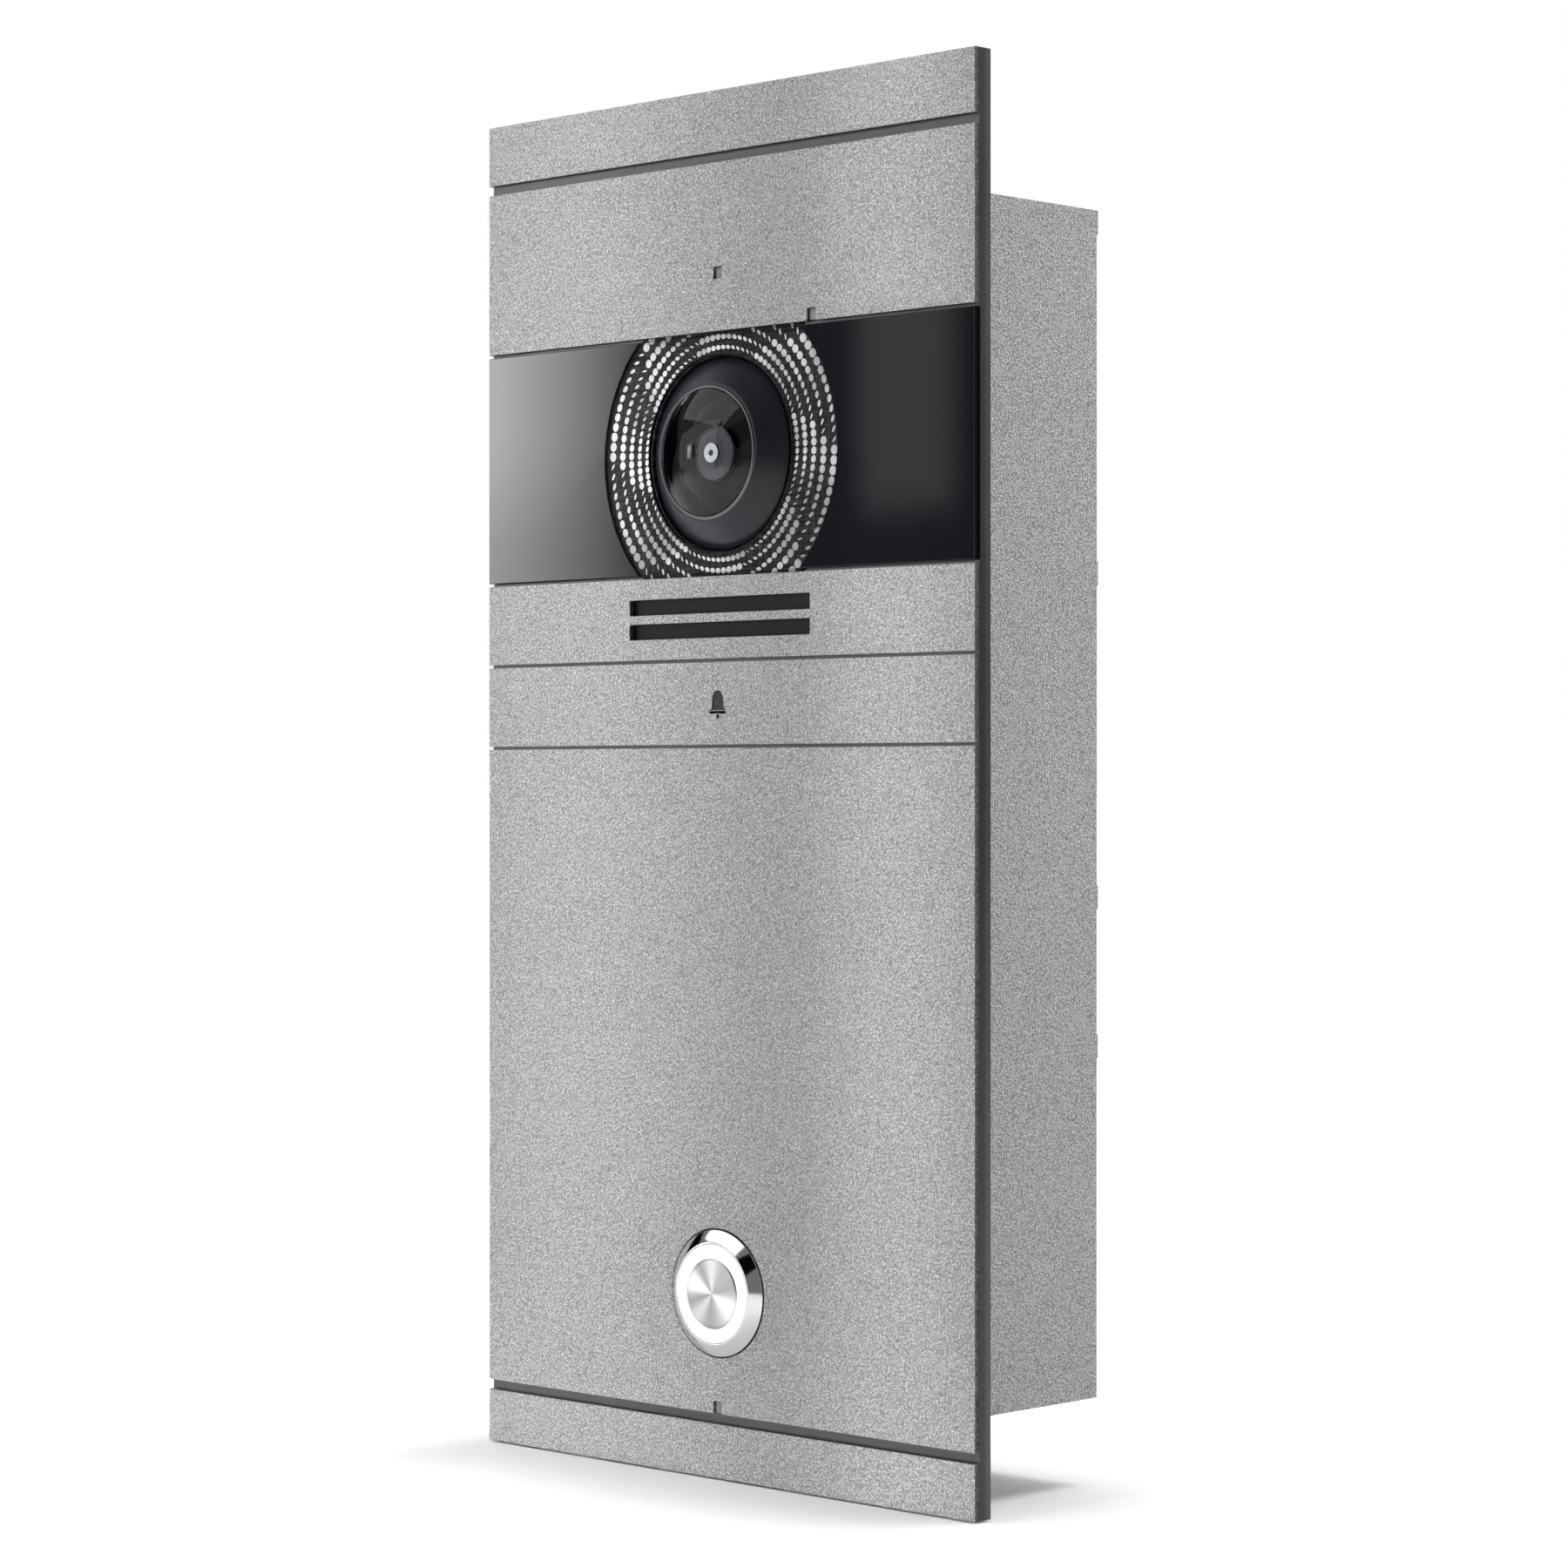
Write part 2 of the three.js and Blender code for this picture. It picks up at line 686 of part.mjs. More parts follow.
const coneEdge = frameFront + 0.7;
const rollMiddle = (cone.radius + frameInner) / 2;
const rollOuter = (frameInner - cone.radius) / 2 - clearance;
function rollArc(radius, count) {
  return Array.from({ length: count + 1 }, (_, i) => {
    const angle = (Math.PI * i) / count;
    return [rollMiddle - radius * Math.cos(angle), coneEdge + cone.paper - radius * Math.sin(angle)];
  });
}
piece(
  "speaker_surround",
  turned([...rollArc(rollOuter, 3), ...rollArc(rollOuter - 0.4, 3).reverse()], speakerZ),
  rubber,
);
const coneNeckY = coneEdge + cone.depth;
const capRise = 1.6;
piece(
  "speaker_cone",
  turned(
    [
      [cone.radius, coneEdge],
      [cone.radius, coneEdge + cone.paper],
      [cone.neck, coneNeckY + cone.paper],
      [cone.neck - 0.6, coneNeckY + cone.paper],
      ...capArc(coneNeckY + cone.paper - capRise, cone.neck - 0.8, coneNeckY, 2).reverse(),
      ...capArc(coneNeckY - capRise, cone.neck - 0.4, coneNeckY - cone.paper, 2),
      [cone.neck, coneNeckY],
    ],
    speakerZ,
  ),
  paper,
);
const coilOuter = cone.neck - 0.1;
const coilInner = coilOuter - cone.coilWall;
const coilFront = coneNeckY + cone.paper + clearance;
piece(
  "voice_coil",
  turned(
    [
      [coilOuter, coilFront],
      [coilOuter, coilFront + cone.coilLength],
      [coilInner, coilFront + cone.coilLength],
      [coilInner, coilFront],
    ],
    speakerZ,
  ),
  copper,
);
const magnetRear = magnetFront + speaker.magnetDepth;
const gapFloor = magnetRear - 1.7;
piece(
  "speaker_magnet",
  turned(
    [
      [0, magnetFront],
      [coilInner - cone.gap, magnetFront],
      [coilInner - cone.gap, gapFloor],
      [coilOuter + cone.gap, gapFloor],
      [coilOuter + cone.gap, magnetFront],
      [speaker.magnetRadius, magnetFront],
      [speaker.magnetRadius, magnetRear],
      [0, magnetRear],
    ],
    speakerZ,
  ),
  steel,
);

// ---------------------------------------------------------------------------------------------------
// Microphone behind the small square port
// ---------------------------------------------------------------------------------------------------

const bootRear = housingFront + microphone.depth;
const capsuleFront = housingFront + 1.8;
piece(
  "microphone_boot",
  turned(
    [
      [microphone.boot, housingFront],
      [microphone.boot, bootRear],
      [microphone.capsule + clearance, bootRear],
      [microphone.capsule + clearance, capsuleFront - clearance],
      [1, capsuleFront - clearance],
      [1, housingFront],
    ],
    microphoneZ,
  ),
  rubber,
);
piece(
  "microphone_capsule",
  rod(microphone.capsule, capsuleFront, capsuleFront + microphone.length, 0, microphoneZ, 20),
  steel,
);

// ---------------------------------------------------------------------------------------------------
// Call button: a threaded bush with a bevelled head, and the plunger, cap and switch stem that travel in it
// ---------------------------------------------------------------------------------------------------

const buttonFront = plateFront - button.height;
const headRear = carrierFront - bush.seal - 0.05;
const lipRear = buttonFront + bush.lipDepth;
piece(
  "button_bezel",
  turned(
    [
      [lipRadius + button.rim, buttonFront],
      [headRadius, plateFront],
      [headRadius, headRear],
      [bushRadius, headRear],
      [bushRadius, bush.rear],
      [boreRadius, bush.rear],
      [boreRadius, lipRear],
      [lipRadius, lipRear],
      [lipRadius, buttonFront],
    ],
    buttonZ,
    FINE,
  ),
  chrome,
);
piece(
  "bezel_gasket",
  turned(
    [
      [headRadius - 0.2, carrierFront - bush.seal],
      [headRadius - 0.2, carrierFront - 0.02],
      [bushRadius + clearance, carrierFront - 0.02],
      [bushRadius + clearance, carrierFront - bush.seal],
    ],
    buttonZ,
    32,
  ),
  rubber,
);

const flangeFront = lipRear + clearance;
const pocketFloor = buttonFront + cap.thickness + cap.play;
const webRear = pocketFloor + plunger.web;
piece(
  "light_ring",
  turned(
    [
      [plungerRadius, buttonFront],
      [plungerRadius, flangeFront],
      [flangeRadius, flangeFront],
      [flangeRadius, flangeFront + plunger.flangeDepth],
      [skirtRadius, flangeFront + plunger.flangeDepth],
      [skirtRadius, plunger.rear],
      [skirtInner, plunger.rear],
      [skirtInner, webRear],
      [cap.stem + cap.play, webRear],
      [cap.stem + cap.play, pocketFloor],
      [cap.radius + cap.play, pocketFloor],
      [cap.radius + cap.play, buttonFront],
    ],
    buttonZ,
    FINE,
  ),
  litPlastic,
);
const stemFront = microSwitch.front - 2.6;
piece(
  "button_cap",
  turned(
    [
      [0, buttonFront],
      [cap.radius - 0.2, buttonFront],
      [cap.radius, buttonFront + 0.2],
      [cap.radius, buttonFront + cap.thickness],
      [cap.stem, buttonFront + cap.thickness],
      [cap.stem, stemFront - clearance],
      [0, stemFront - clearance],
    ],
    buttonZ,
    FINE,
  ),
  steel,
);

const ledBoardFront = microSwitch.front - clearance - microSwitch.ledBoard;
class Helix extends THREE.Curve {
  constructor(radius, y0, y1, turns, z) {
    super();
    Object.assign(this, { radius, y0, y1, turns, z });
  }
  getPoint(t) {
    const angle = 2 * Math.PI * this.turns * t;
    return new THREE.Vector3(
      this.radius * Math.cos(angle),
      this.y0 + (this.y1 - this.y0) * t,
      this.z + this.radius * Math.sin(angle),
    );
  }
}
const wireRadius = coil.wire / 2;
piece(
  "return_spring",
  new THREE.ExtrudeGeometry(new THREE.Shape().absarc(0, 0, wireRadius, 0, 2 * Math.PI), {
    steps: Math.round(coil.turns * 10),
    extrudePath: new Helix(
      skirtInner - coil.inset,
      webRear + wireRadius + 0.15,
      ledBoardFront - wireRadius - 0.15,
      coil.turns,
      buttonZ,
    ),
    curveSegments: 3,
    bevelEnabled: false,
  }),
  steel,
);

const stemHole = microSwitch.stem + microSwitch.stemPlay;
const ringLeds = [0, 1, 2, 3].map((i) => {
  const angle = (i * Math.PI) / 2;
  const middle = (skirtRadius + skirtInner) / 2;
  const [x, z] = [middle * Math.cos(angle), buttonZ + middle * Math.sin(angle)];
  return block(x - 0.8, x + 0.8, ledBoardFront - 0.7, ledBoardFront + 0.2, z - 0.8, z + 0.8);
});
piece(
  "button_led_board",
  joined(
    turned(
      [
        [boreRadius - microSwitch.play, ledBoardFront],
        [boreRadius - microSwitch.play, ledBoardFront + microSwitch.ledBoard],
        [stemHole + 1, ledBoardFront + microSwitch.ledBoard],
        [stemHole + 1, ledBoardFront],
      ],
      buttonZ,
    ),
    ...ringLeds,
  ),
  greenBoard,
);
const stemRear = stemFront + 5;
piece("switch_stem", rod(microSwitch.stem, stemFront, stemRear, 0, buttonZ, 16), litPlastic);
piece(
  "switch_body",
  cut(
    rod(boreRadius - microSwitch.play, microSwitch.front, microSwitch.rear, 0, buttonZ, COARSE),
    rod(stemHole, microSwitch.front - 1, stemRear + travel.button + 0.5, 0, buttonZ, 16),
  ),
  blackPlastic,
);
const nutRear = carrierRear + clearance + nut.thickness;
const nutCorner = (2 * nutHalf) / Math.sqrt(3);
piece(
  "button_nut",
  cut(
    new THREE.CylinderGeometry(nutCorner, nutCorner, nut.thickness, 6)
      .rotateY(Math.PI / 6)
      .translate(0, nutRear - nut.thickness / 2, buttonZ),
    rod(bushRadius + clearance, carrierRear - 1, nutRear + 1, 0, buttonZ, 32),
  ),
  steel,
);

// ---------------------------------------------------------------------------------------------------
// Electronics
// ---------------------------------------------------------------------------------------------------

piece(
  "main_board",
  cut(
    block(-boardHalfX, boardHalfX, board.front, boardRear, boardBottom, boardTop),
    ...boardCorners.map(({ x, z }) => rod(board.screwHole, board.front - 1, boardRear + 1, x, z, 12)),
  ),
  greenBoard,
);

const onBoard = board.front - clearance;
const shieldX = -boardHalfX / 2 + 2;
const partsZ = (boardTop + boardBottom) / 2;
piece(
  "processor_shield",
  block(
    shieldX - shield.size / 2,
    shieldX + shield.size / 2,
    onBoard - shield.height,
    onBoard,
    partsZ - shield.size / 2,
    partsZ + shield.size / 2,
  ),
  steel,
);
const relayX = boardHalfX / 2 - 6;
piece(
  "relay",
  block(
    relayX - relay.width / 2,
    relayX + relay.width / 2,
    onBoard - relay.depth,
    onBoard,
    partsZ - relay.height / 2,
    partsZ + relay.height / 2,
  ),
  blackPlastic,
);
piece(
  "capacitor",
  rod(capacitor.radius, onBoard - capacitor.length, onBoard, boardHalfX - 9, partsZ, 20),
  blackMetal,
);

// A screw terminal: a stepped block with a row of wire holes in its rear face and screw wells on its ledge.
function terminalBlock(x) {
  const half = terminal.width / 2;
  const [z0, z1] = [terminalZ - terminal.height / 2, terminalZ + terminal.height / 2];
  const ledge = terminal.rear - 4;
  const poleX = (i) => x - half + (terminal.width * (i + 0.5)) / terminal.poles;
  const poles = Array.from({ length: terminal.poles }, (_, i) => poleX(i));
  return cut(
    block(x - half, x + half, boardRear + clearance, terminal.rear, z0, z1),
    block(x - half - 1, x + half + 1, ledge, terminal.rear + 1, terminalZ + 1, z1 + 1),
    ...poles.map((px) => rod(terminal.wireHole, ledge - 2, terminal.rear + 1, px, terminalZ - 2.5, 8)),
    ...poles.map((px) => rod(terminal.wireHole + 0.3, ledge - 2, ledge + 1, px, terminalZ + 3.5, 8)),
  );
}
const terminalX = (terminal.width + terminal.gap) / 2;
piece("network_terminal", terminalBlock(-terminalX), greenPlastic);
piece("power_terminal", terminalBlock(terminalX), greenPlastic);

const coverFront = carrierRear + clearance;
const coverInnerX = coverHalfX - cover.wall;
const coverPosts = boardCorners.map(({ x, z }) =>
  rod(post.radius, boardRear + clearance, cover.rear - cover.wall / 2, x, z, 12),
);
const terminalReach = terminalX + terminal.width / 2 + 1;
piece(
  "electronics_cover",
  cut(
    joined(
      cut(
        block(-coverHalfX, coverHalfX, coverFront, cover.rear, coverBottom, coverTop),
        block(
          -coverInnerX,
          coverInnerX,
          coverFront - 1,
          cover.rear - cover.wall,
          coverBottom + cover.wall,
          coverTop - cover.wall,
        ),
      ),
      ...coverPosts,
    ),
    block(
      -terminalReach,
      terminalReach,
      cover.rear - cover.wall - 1,
      cover.rear + 1,
      terminalZ - terminal.height / 2 - 1,
      terminalZ + terminal.height / 2 + 1,
    ),
    ...boardCorners.map(({ x, z }) => rod(post.hole, boardRear - 1, cover.rear + 1, x, z, 12)),
  ),
  blackPlastic,
);

const screwTip = board.front - coverScrew.grip;
boardCorners.forEach(({ x, z }, i) => {
  const headFront = cover.rear + clearance;
  const screw = turned([
    [0, screwTip],
    [coverScrew.shaft, screwTip],
    [coverScrew.shaft, headFront],
    [coverScrew.head, headFront],
    [coverScrew.head, headFront + coverScrew.headHeight * 0.6],
    [coverScrew.head * 0.6, headFront + coverScrew.headHeight],
    [0, headFront + coverScrew.headHeight],
  ], 0, 12);
  piece(`cover_screw_${i + 1}`, screw, steel).position.set(x, 0, z);
});

// A ribbon of constant width along X, whose side view is a polyline of [y, z] points.
function ribbon(points, width, thickness, x) {
  const path = points.map(([y, z]) => new THREE.Vector2(y, z));
  const offset = (side) =>
    path.map((p, i) => {
      const before = path[Math.max(i - 1, 0)];
      const after = path[Math.min(i + 1, path.length - 1)];
      const along = after.clone().sub(before).normalize();
      const across = new THREE.Vector2(-along.y, along.x).multiplyScalar((side * thickness) / 2);
      return p.clone().add(across);
    });
  const outline = new THREE.Shape([...offset(1), ...offset(-1).reverse()]);
  const strip = new THREE.ExtrudeGeometry(outline, { depth: width, bevelEnabled: false });
  // The outline's plane (y, z) becomes the object's own, and the extrusion runs along X.
  const toFrame = new THREE.Matrix4().makeBasis(
    new THREE.Vector3(0, 1, 0),
    new THREE.Vector3(0, 0, 1),
    new THREE.Vector3(1, 0, 0),
  );
  return strip.applyMatrix4(toFrame).translate(x - width / 2, 0, 0);
}
const sensorRear = sensorFront + sensor.thickness + clearance + flex.thickness;
const behindMagnet = Math.max(sensorRear, magnetRear) + 2.5;
const flexLanding = boardRear + clearance + flex.thickness;
piece(
  "camera_flex",
  ribbon(
    [
      [sensorRear, lensZ - sensor.board / 2 + 9],
      [sensorRear, lensZ - sensor.board / 2 + 3],
      [sensorRear + 1, lensZ - sensor.board / 2 - 1],
      [behindMagnet, lensZ - sensor.board / 2 - 5],
      [behindMagnet, boardTop + 5],
      [flexLanding + 0.8, boardTop + 1],
      [flexLanding, boardTop - 2],
      [flexLanding, boardTop - 8],
    ],
    flex.width,
    flex.thickness,
    -14,
  ),
  amberFilm,
);

const leadLanding = boardRear + lead.radius + 0.3;
piece(
  "speaker_lead",
  tube(
    [
      [4, magnetRear + lead.radius + 0.3, speakerZ],
      [9, magnetRear + 3, speakerZ - 8],
      [13, magnetRear + 3, boardTop + 8],
      [15, leadLanding + 1.5, boardTop],
      [16, leadLanding, boardTop - 6],
    ],
    lead.radius,
    16,
  ),
  blackPlastic,
);
piece(
  "microphone_lead",
  tube(
    [
      [0, capsuleFront + microphone.length + lead.radius + 0.3, microphoneZ],
      [14, bootRear + 3, microphoneZ - 3],
      [boardHalfX - 12, bootRear + 8, microphoneZ - 14],
      [boardHalfX - 8, housing.tubeRear + 3, lensZ],
      [boardHalfX - 8, housing.tubeRear + 3, speakerZ],
      [boardHalfX - 11, leadLanding + 2, boardTop + 2],
      [boardHalfX - 13, leadLanding, boardTop - 6],
    ],
    lead.radius,
    20,
  ),
  blackPlastic,
);
piece(
  "button_lead",
  tube(
    [
      [0, microSwitch.rear + lead.radius + 0.3, buttonZ + 4],
      [0, microSwitch.rear + 3.5, buttonZ + 9],
      [0, microSwitch.rear + 3.5, boardBottom - 3],
      [0, leadLanding, boardBottom + 3],
    ],
    lead.radius,
    14,
  ),
  blackPlastic,
);

// ---------------------------------------------------------------------------------------------------
// Wall box: four walls with ears for the panel screws, a back with fixing holes, and cable entries
// ---------------------------------------------------------------------------------------------------

const innerX = boxHalf.x - box.wall;
const entryY = box.depth - grommet.fromBack;
const tabs = [-1, 1].flatMap((side) =>
  backTab.drops.map((drop) => {
    const z = boxTop - drop;
    const [x0, x1] = side < 0 ? [-boxHalf.x, -innerX] : [innerX, boxHalf.x];
    return block(
      x0,
      x1,
      box.depth - 1,
      box.depth + backTab.height,
      z - backTab.length / 2,
      z + backTab.length / 2,
    );
  }),
);
const ears = screwPlaces.map(({ x, z }) => {
  const wallX = Math.sign(x) * (boxHalf.x - box.wall / 2);
  const tipX = Math.sign(x) * (coverHalfX + lug.coverGap);
  return block(
    Math.min(wallX, tipX),
    Math.max(wallX, tipX),
    lug.front,
    lug.front + lug.thickness,
    z - lug.height / 2,
    z + lug.height / 2,
  );
});
// The cable entries' holes run along Z through the top and the bottom wall.
function entryHole(z) {
  return new THREE.CylinderGeometry(grommet.hole, grommet.hole, 4 * box.wall, 32)
    .rotateX(Math.PI / 2)
    .translate(0, entryY, z);
}
piece(
  "box_walls",
  cut(
    joined(
      cut(
        block(-boxHalf.x, boxHalf.x, 0, box.depth, boxBottom, boxTop),
        block(-innerX, innerX, -1, box.depth + 1, boxBottom + box.wall, boxTop - box.wall),
      ),
      ...tabs,
      ...ears,
    ),
    ...screwPlaces.map(({ x, z }) => rod(panelScrew.hole, 0, lug.front + lug.thickness + 1, x, z, 16)),
    entryHole(boxTop),
    entryHole(boxBottom),
  ),
  powderCoat,
);
const backHalf = { x: innerX - box.seam, z: boxHalf.z - box.wall - box.seam };
piece(
  "box_back",
  cut(
    block(
      -backHalf.x,
      backHalf.x,
      box.depth - box.wall,
      box.depth,
      boxMiddle - backHalf.z,
      boxMiddle + backHalf.z,
    ),
    ...[-1, 1].flatMap((side) =>
      [-1, 1].map((end) =>
        rod(
          wallHole.radius,
          box.depth - box.wall - 1,
          box.depth + 1,
          side * (boxHalf.x - wallHole.side),
          boxMiddle + end * (boxHalf.z - wallHole.end),
          16,
        ),
      ),
    ),
  ),
  powderCoat,
);

screwPlaces.forEach(({ x, z }, i) => {
  const headFront = carrierFront + 0.05;
  const screw = cut(
    turned(
      [
        [0, headFront],
        [panelScrew.head, headFront],
        [panelScrew.shaft, headFront + panelScrew.sink - 0.2],
        [panelScrew.shaft, headFront + panelScrew.length],
        [0, headFront + panelScrew.length],
      ],
      0,
      16,
    ),
    rod(panelScrew.socket, headFront - 1, headFront + panelScrew.depth, 0, 0, 6),
  );
  piece(`panel_screw_${i + 1}`, screw, steel).position.set(x, 0, z);
});

// A rubber grommet about Z: a flange outside the wall, a neck through it and a lip inside.
function grommetShape(open) {
  const outside = grommet.lipThickness;
  const inside = -box.wall - 0.4 - grommet.lipThickness;
  const neckGap = 0.2;
  const profile = [
    [grommet.flange - 1, outside + neckGap],
    [grommet.flange, neckGap],
    [grommet.neck, neckGap],
    [grommet.neck, -box.wall - neckGap],
    [grommet.flange - 0.6, -box.wall - neckGap],
    [grommet.neck - 0.5, inside],
  ];
  const bore = open
    ? [
        [grommet.bore, inside],
        [grommet.bore, outside + neckGap],
      ]
    : [
        [0, inside],
        [0, outside + neckGap],
      ];
  return turned([...profile, ...bore], 0, COARSE);
}
const entries = [
  { name: "cable_grommet", z: boxTop, turn: Math.PI / 2, open: true },
  { name: "blank_grommet", z: boxBottom, turn: -Math.PI / 2, open: false },
];
for (const { name, z, turn, open } of entries) {
  const made = piece(name, grommetShape(open), rubber);
  made.position.set(0, entryY, z);
  made.rotation.x = turn;
}

export default root;
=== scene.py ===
import math

import bmesh
import bpy
from mathutils import Matrix, Vector


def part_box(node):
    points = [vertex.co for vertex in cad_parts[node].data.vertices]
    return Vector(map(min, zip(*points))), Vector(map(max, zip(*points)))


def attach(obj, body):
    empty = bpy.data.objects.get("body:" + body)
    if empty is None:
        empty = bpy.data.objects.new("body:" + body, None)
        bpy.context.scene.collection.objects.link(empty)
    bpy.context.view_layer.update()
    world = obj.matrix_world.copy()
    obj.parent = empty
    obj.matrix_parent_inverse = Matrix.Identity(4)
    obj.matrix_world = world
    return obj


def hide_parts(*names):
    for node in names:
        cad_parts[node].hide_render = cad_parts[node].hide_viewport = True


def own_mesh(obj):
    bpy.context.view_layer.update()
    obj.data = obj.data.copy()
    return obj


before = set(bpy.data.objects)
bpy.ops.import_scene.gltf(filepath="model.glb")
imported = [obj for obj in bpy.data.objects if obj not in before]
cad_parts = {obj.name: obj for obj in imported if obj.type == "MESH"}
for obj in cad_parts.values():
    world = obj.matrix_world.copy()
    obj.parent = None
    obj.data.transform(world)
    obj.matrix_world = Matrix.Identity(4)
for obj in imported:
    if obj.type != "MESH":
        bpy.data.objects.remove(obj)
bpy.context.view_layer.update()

MM = 0.001
scene = bpy.context.scene
STATION = "door_station"


# ---------------------------------------------------------------------------------------
# Camera. It stands at the height of the panel's middle, a little under 0.9 m away and
# about 45 degrees round to the right, and looks level past the panel's middle.
# ---------------------------------------------------------------------------------------
carrier_low, carrier_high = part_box("carrier")
plate_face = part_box("lower_plate")[0].y
panel_middle = Vector((0, plate_face, (carrier_low.z + carrier_high.z) / 2))

camera_distance = 0.8647
camera_round = math.radians(45.07)
camera_turn = math.radians(44.118)
camera_lens = 91.9
camera_data = bpy.data.cameras.new("camera")
camera_data.lens = camera_lens
camera_data.sensor_width = 36
camera_data.clip_start = 0.02
camera = bpy.data.objects.new("camera", camera_data)
scene.collection.objects.link(camera)
toward_camera = Vector((math.sin(camera_round), -math.cos(camera_round), 0))
camera.location = panel_middle + camera_distance * toward_camera
camera.rotation_euler = (math.pi / 2, 0, camera_turn)
scene.camera = camera
scene.view_settings.view_transform = "Standard"


# ---------------------------------------------------------------------------------------
# Studio. A pale floor, an even white surround, a large soft card off to the left that the
# glass mirrors, and lamps, two of them narrow bands that wash the front. The two classes
# for a finish stand here: a Number varies over a surface, and a Finish is one material.
# ---------------------------------------------------------------------------------------
class Number:
    def __init__(self, finish, socket):
        self.finish = finish
        self.socket = socket

    def math(self, operation, first, second=0.5, third=0.5):
        inputs = {0: first, 1: second, 2: third}
        return self.finish.node("ShaderNodeMath", {"operation": operation}, inputs)

    def __add__(self, other):
        return self.math("ADD", self, other)

    def __sub__(self, other):
        return self.math("SUBTRACT", self, other)

    def __rsub__(self, other):
        return self.math("SUBTRACT", other, self)

    def __mul__(self, other):
        return self.math("MULTIPLY", self, other)

    def __truediv__(self, other):
        return self.math("DIVIDE", self, other)

    def __pow__(self, other):
        return self.math("POWER", self, other)

    __radd__ = __add__
    __rmul__ = __mul__

    def clamp(self, low=0.0, high=1.0):
        return self.math("MINIMUM", self.math("MAXIMUM", self, low), high)

    def ramp(self, low, high):
        """0 at low and below, 1 at high and above, smooth between."""
        inputs = {0: self, 1: low, 2: high, 3: 0.0, 4: 1.0}
        settings = {"interpolation_type": "SMOOTHSTEP"}
        return self.finish.node("ShaderNodeMapRange", settings, inputs)

    def sine(self):
        return self.math("SINE", self)


class Finish:
    def __init__(self, name, slot=None):
        self.slot = slot
        self.material = bpy.data.materials.new(name)
        self.material.use_nodes = True
        self.tree = self.material.node_tree
        self.tree.nodes.clear()

    def node(self, kind, settings=None, inputs=None, output=0):
        made = self.tree.nodes.new(kind)
        for key, value in (settings or {}).items():
            setattr(made, key, value)
        for key, value in (inputs or {}).items():
            if isinstance(value, Number):
                self.tree.links.new(value.socket, made.inputs[key])
            else:
                made.inputs[key].default_value = value
        return Number(self, made.outputs[output])

    def place(self):
        return self.node("ShaderNodeTexCoord", output="Object")

    def axes(self):
        made = self.node("ShaderNodeSeparateXYZ", {}, {"Vector": self.place()})
        outputs = made.socket.node.outputs
        return [Number(self, outputs[name]) for name in "XYZ"]

    def stretched(self, scale):
        inputs = {0: self.place(), 1: scale}
        return self.node("ShaderNodeVectorMath", {"operation": "MULTIPLY"}, inputs)

    def noise(self, scale, detail=2.0, rough=0.5, place=None):
        place = place or self.place()
        inputs = {"Vector": place, "Scale": scale, "Detail": detail, "Roughness": rough}
        return self.node("ShaderNodeTexNoise", {}, inputs)

    def rings(self, along):
        """Noise that varies with one distance only."""
        inputs = {"W": along, "Scale": 1.0, "Detail": 2.0}
        return self.node("ShaderNodeTexNoise", {"noise_dimensions": "1D"}, inputs)

    def cells(self, scale, random=1.0):
        inputs = {"Vector": self.place(), "Scale": scale, "Randomness": random}
        return self.node("ShaderNodeTexVoronoi", {}, inputs)

    def colour(self, factor, first, second):
        settings = {"data_type": "RGBA"}
        inputs = {0: factor, 6: (*first, 1), 7: (*second, 1)}
        return self.node("ShaderNodeMix", settings, inputs, output=2)

    def bump(self, height, depth, strength=1.0):
        inputs = {"Height": height, "Distance": depth, "Strength": strength}
        return self.node("ShaderNodeBump", {}, inputs)

    def principled(self, **inputs):
        named = {key.replace("_", " "): value for key, value in inputs.items()}
        for key, value in named.items():
            if isinstance(value, tuple) and len(value) == 3:
                named[key] = (*value, 1)
        return self.node("ShaderNodeBsdfPrincipled", {}, named)

    def show(self, shader):
        output = self.tree.nodes.new("ShaderNodeOutputMaterial")
        self.tree.links.new(shader.socket, output.inputs["Surface"])
        return self


def grey(value, tint=(1.0, 1.0, 1.0)):
    return tuple(value * share for share in tint)


def stage_sheet(name, corners, finish):
    mesh = bpy.data.meshes.new(name)
    mesh.from_pydata([tuple(c) for c in corners], [], [(0, 1, 2, 3)])
    mesh.materials.append(finish.material)
    sheet = bpy.data.objects.new(name, mesh)
    scene.collection.objects.link(sheet)
    return sheet


def soft_patch(x, z, left, right, low, high, soft):
    """1 inside an upright rectangle, 0 outside, with edges that fade over a width."""
    across = x.ramp(left, left + soft) * (1 - x.ramp(right - soft, right))
    return across * z.ramp(low, low + soft) * (1 - z.ramp(high - soft, high))


floor_finish = Finish("floor_paper")
floor_x, floor_y = floor_finish.axes()[:2]
# The floor's glow for the camera is painted darker near the object, and floor_shade paints a soft shadow
# under and in front of the panel.
floor_far = ((floor_x * floor_x + floor_y * floor_y) ** 0.5).ramp(0.10, 0.55)
floor_shade = soft_patch(floor_x, floor_y, -0.135, 0.125, -0.125, 0.05, 0.075)
floor_matt = floor_finish.node("ShaderNodeBsdfDiffuse", {}, {"Color": (0.8, 0.8, 0.8, 1)})
floor_glow = (floor_far * 0.55 + 0.50) * (1 - floor_shade * 0.95)
floor_lit = floor_finish.node("ShaderNodeEmission", {}, {"Strength": floor_glow})
floor_both = floor_finish.node("ShaderNodeAddShader", {}, {0: floor_matt, 1: floor_lit})
floor_seen = floor_finish.node("ShaderNodeLightPath", output="Is Camera Ray")
floor_finish.show(
    floor_finish.node("ShaderNodeMixShader", {}, {0: floor_seen, 1: floor_matt, 2: floor_both})
)
floor_reach = 30.0
floor_height = carrier_low.z - 0.4 * MM
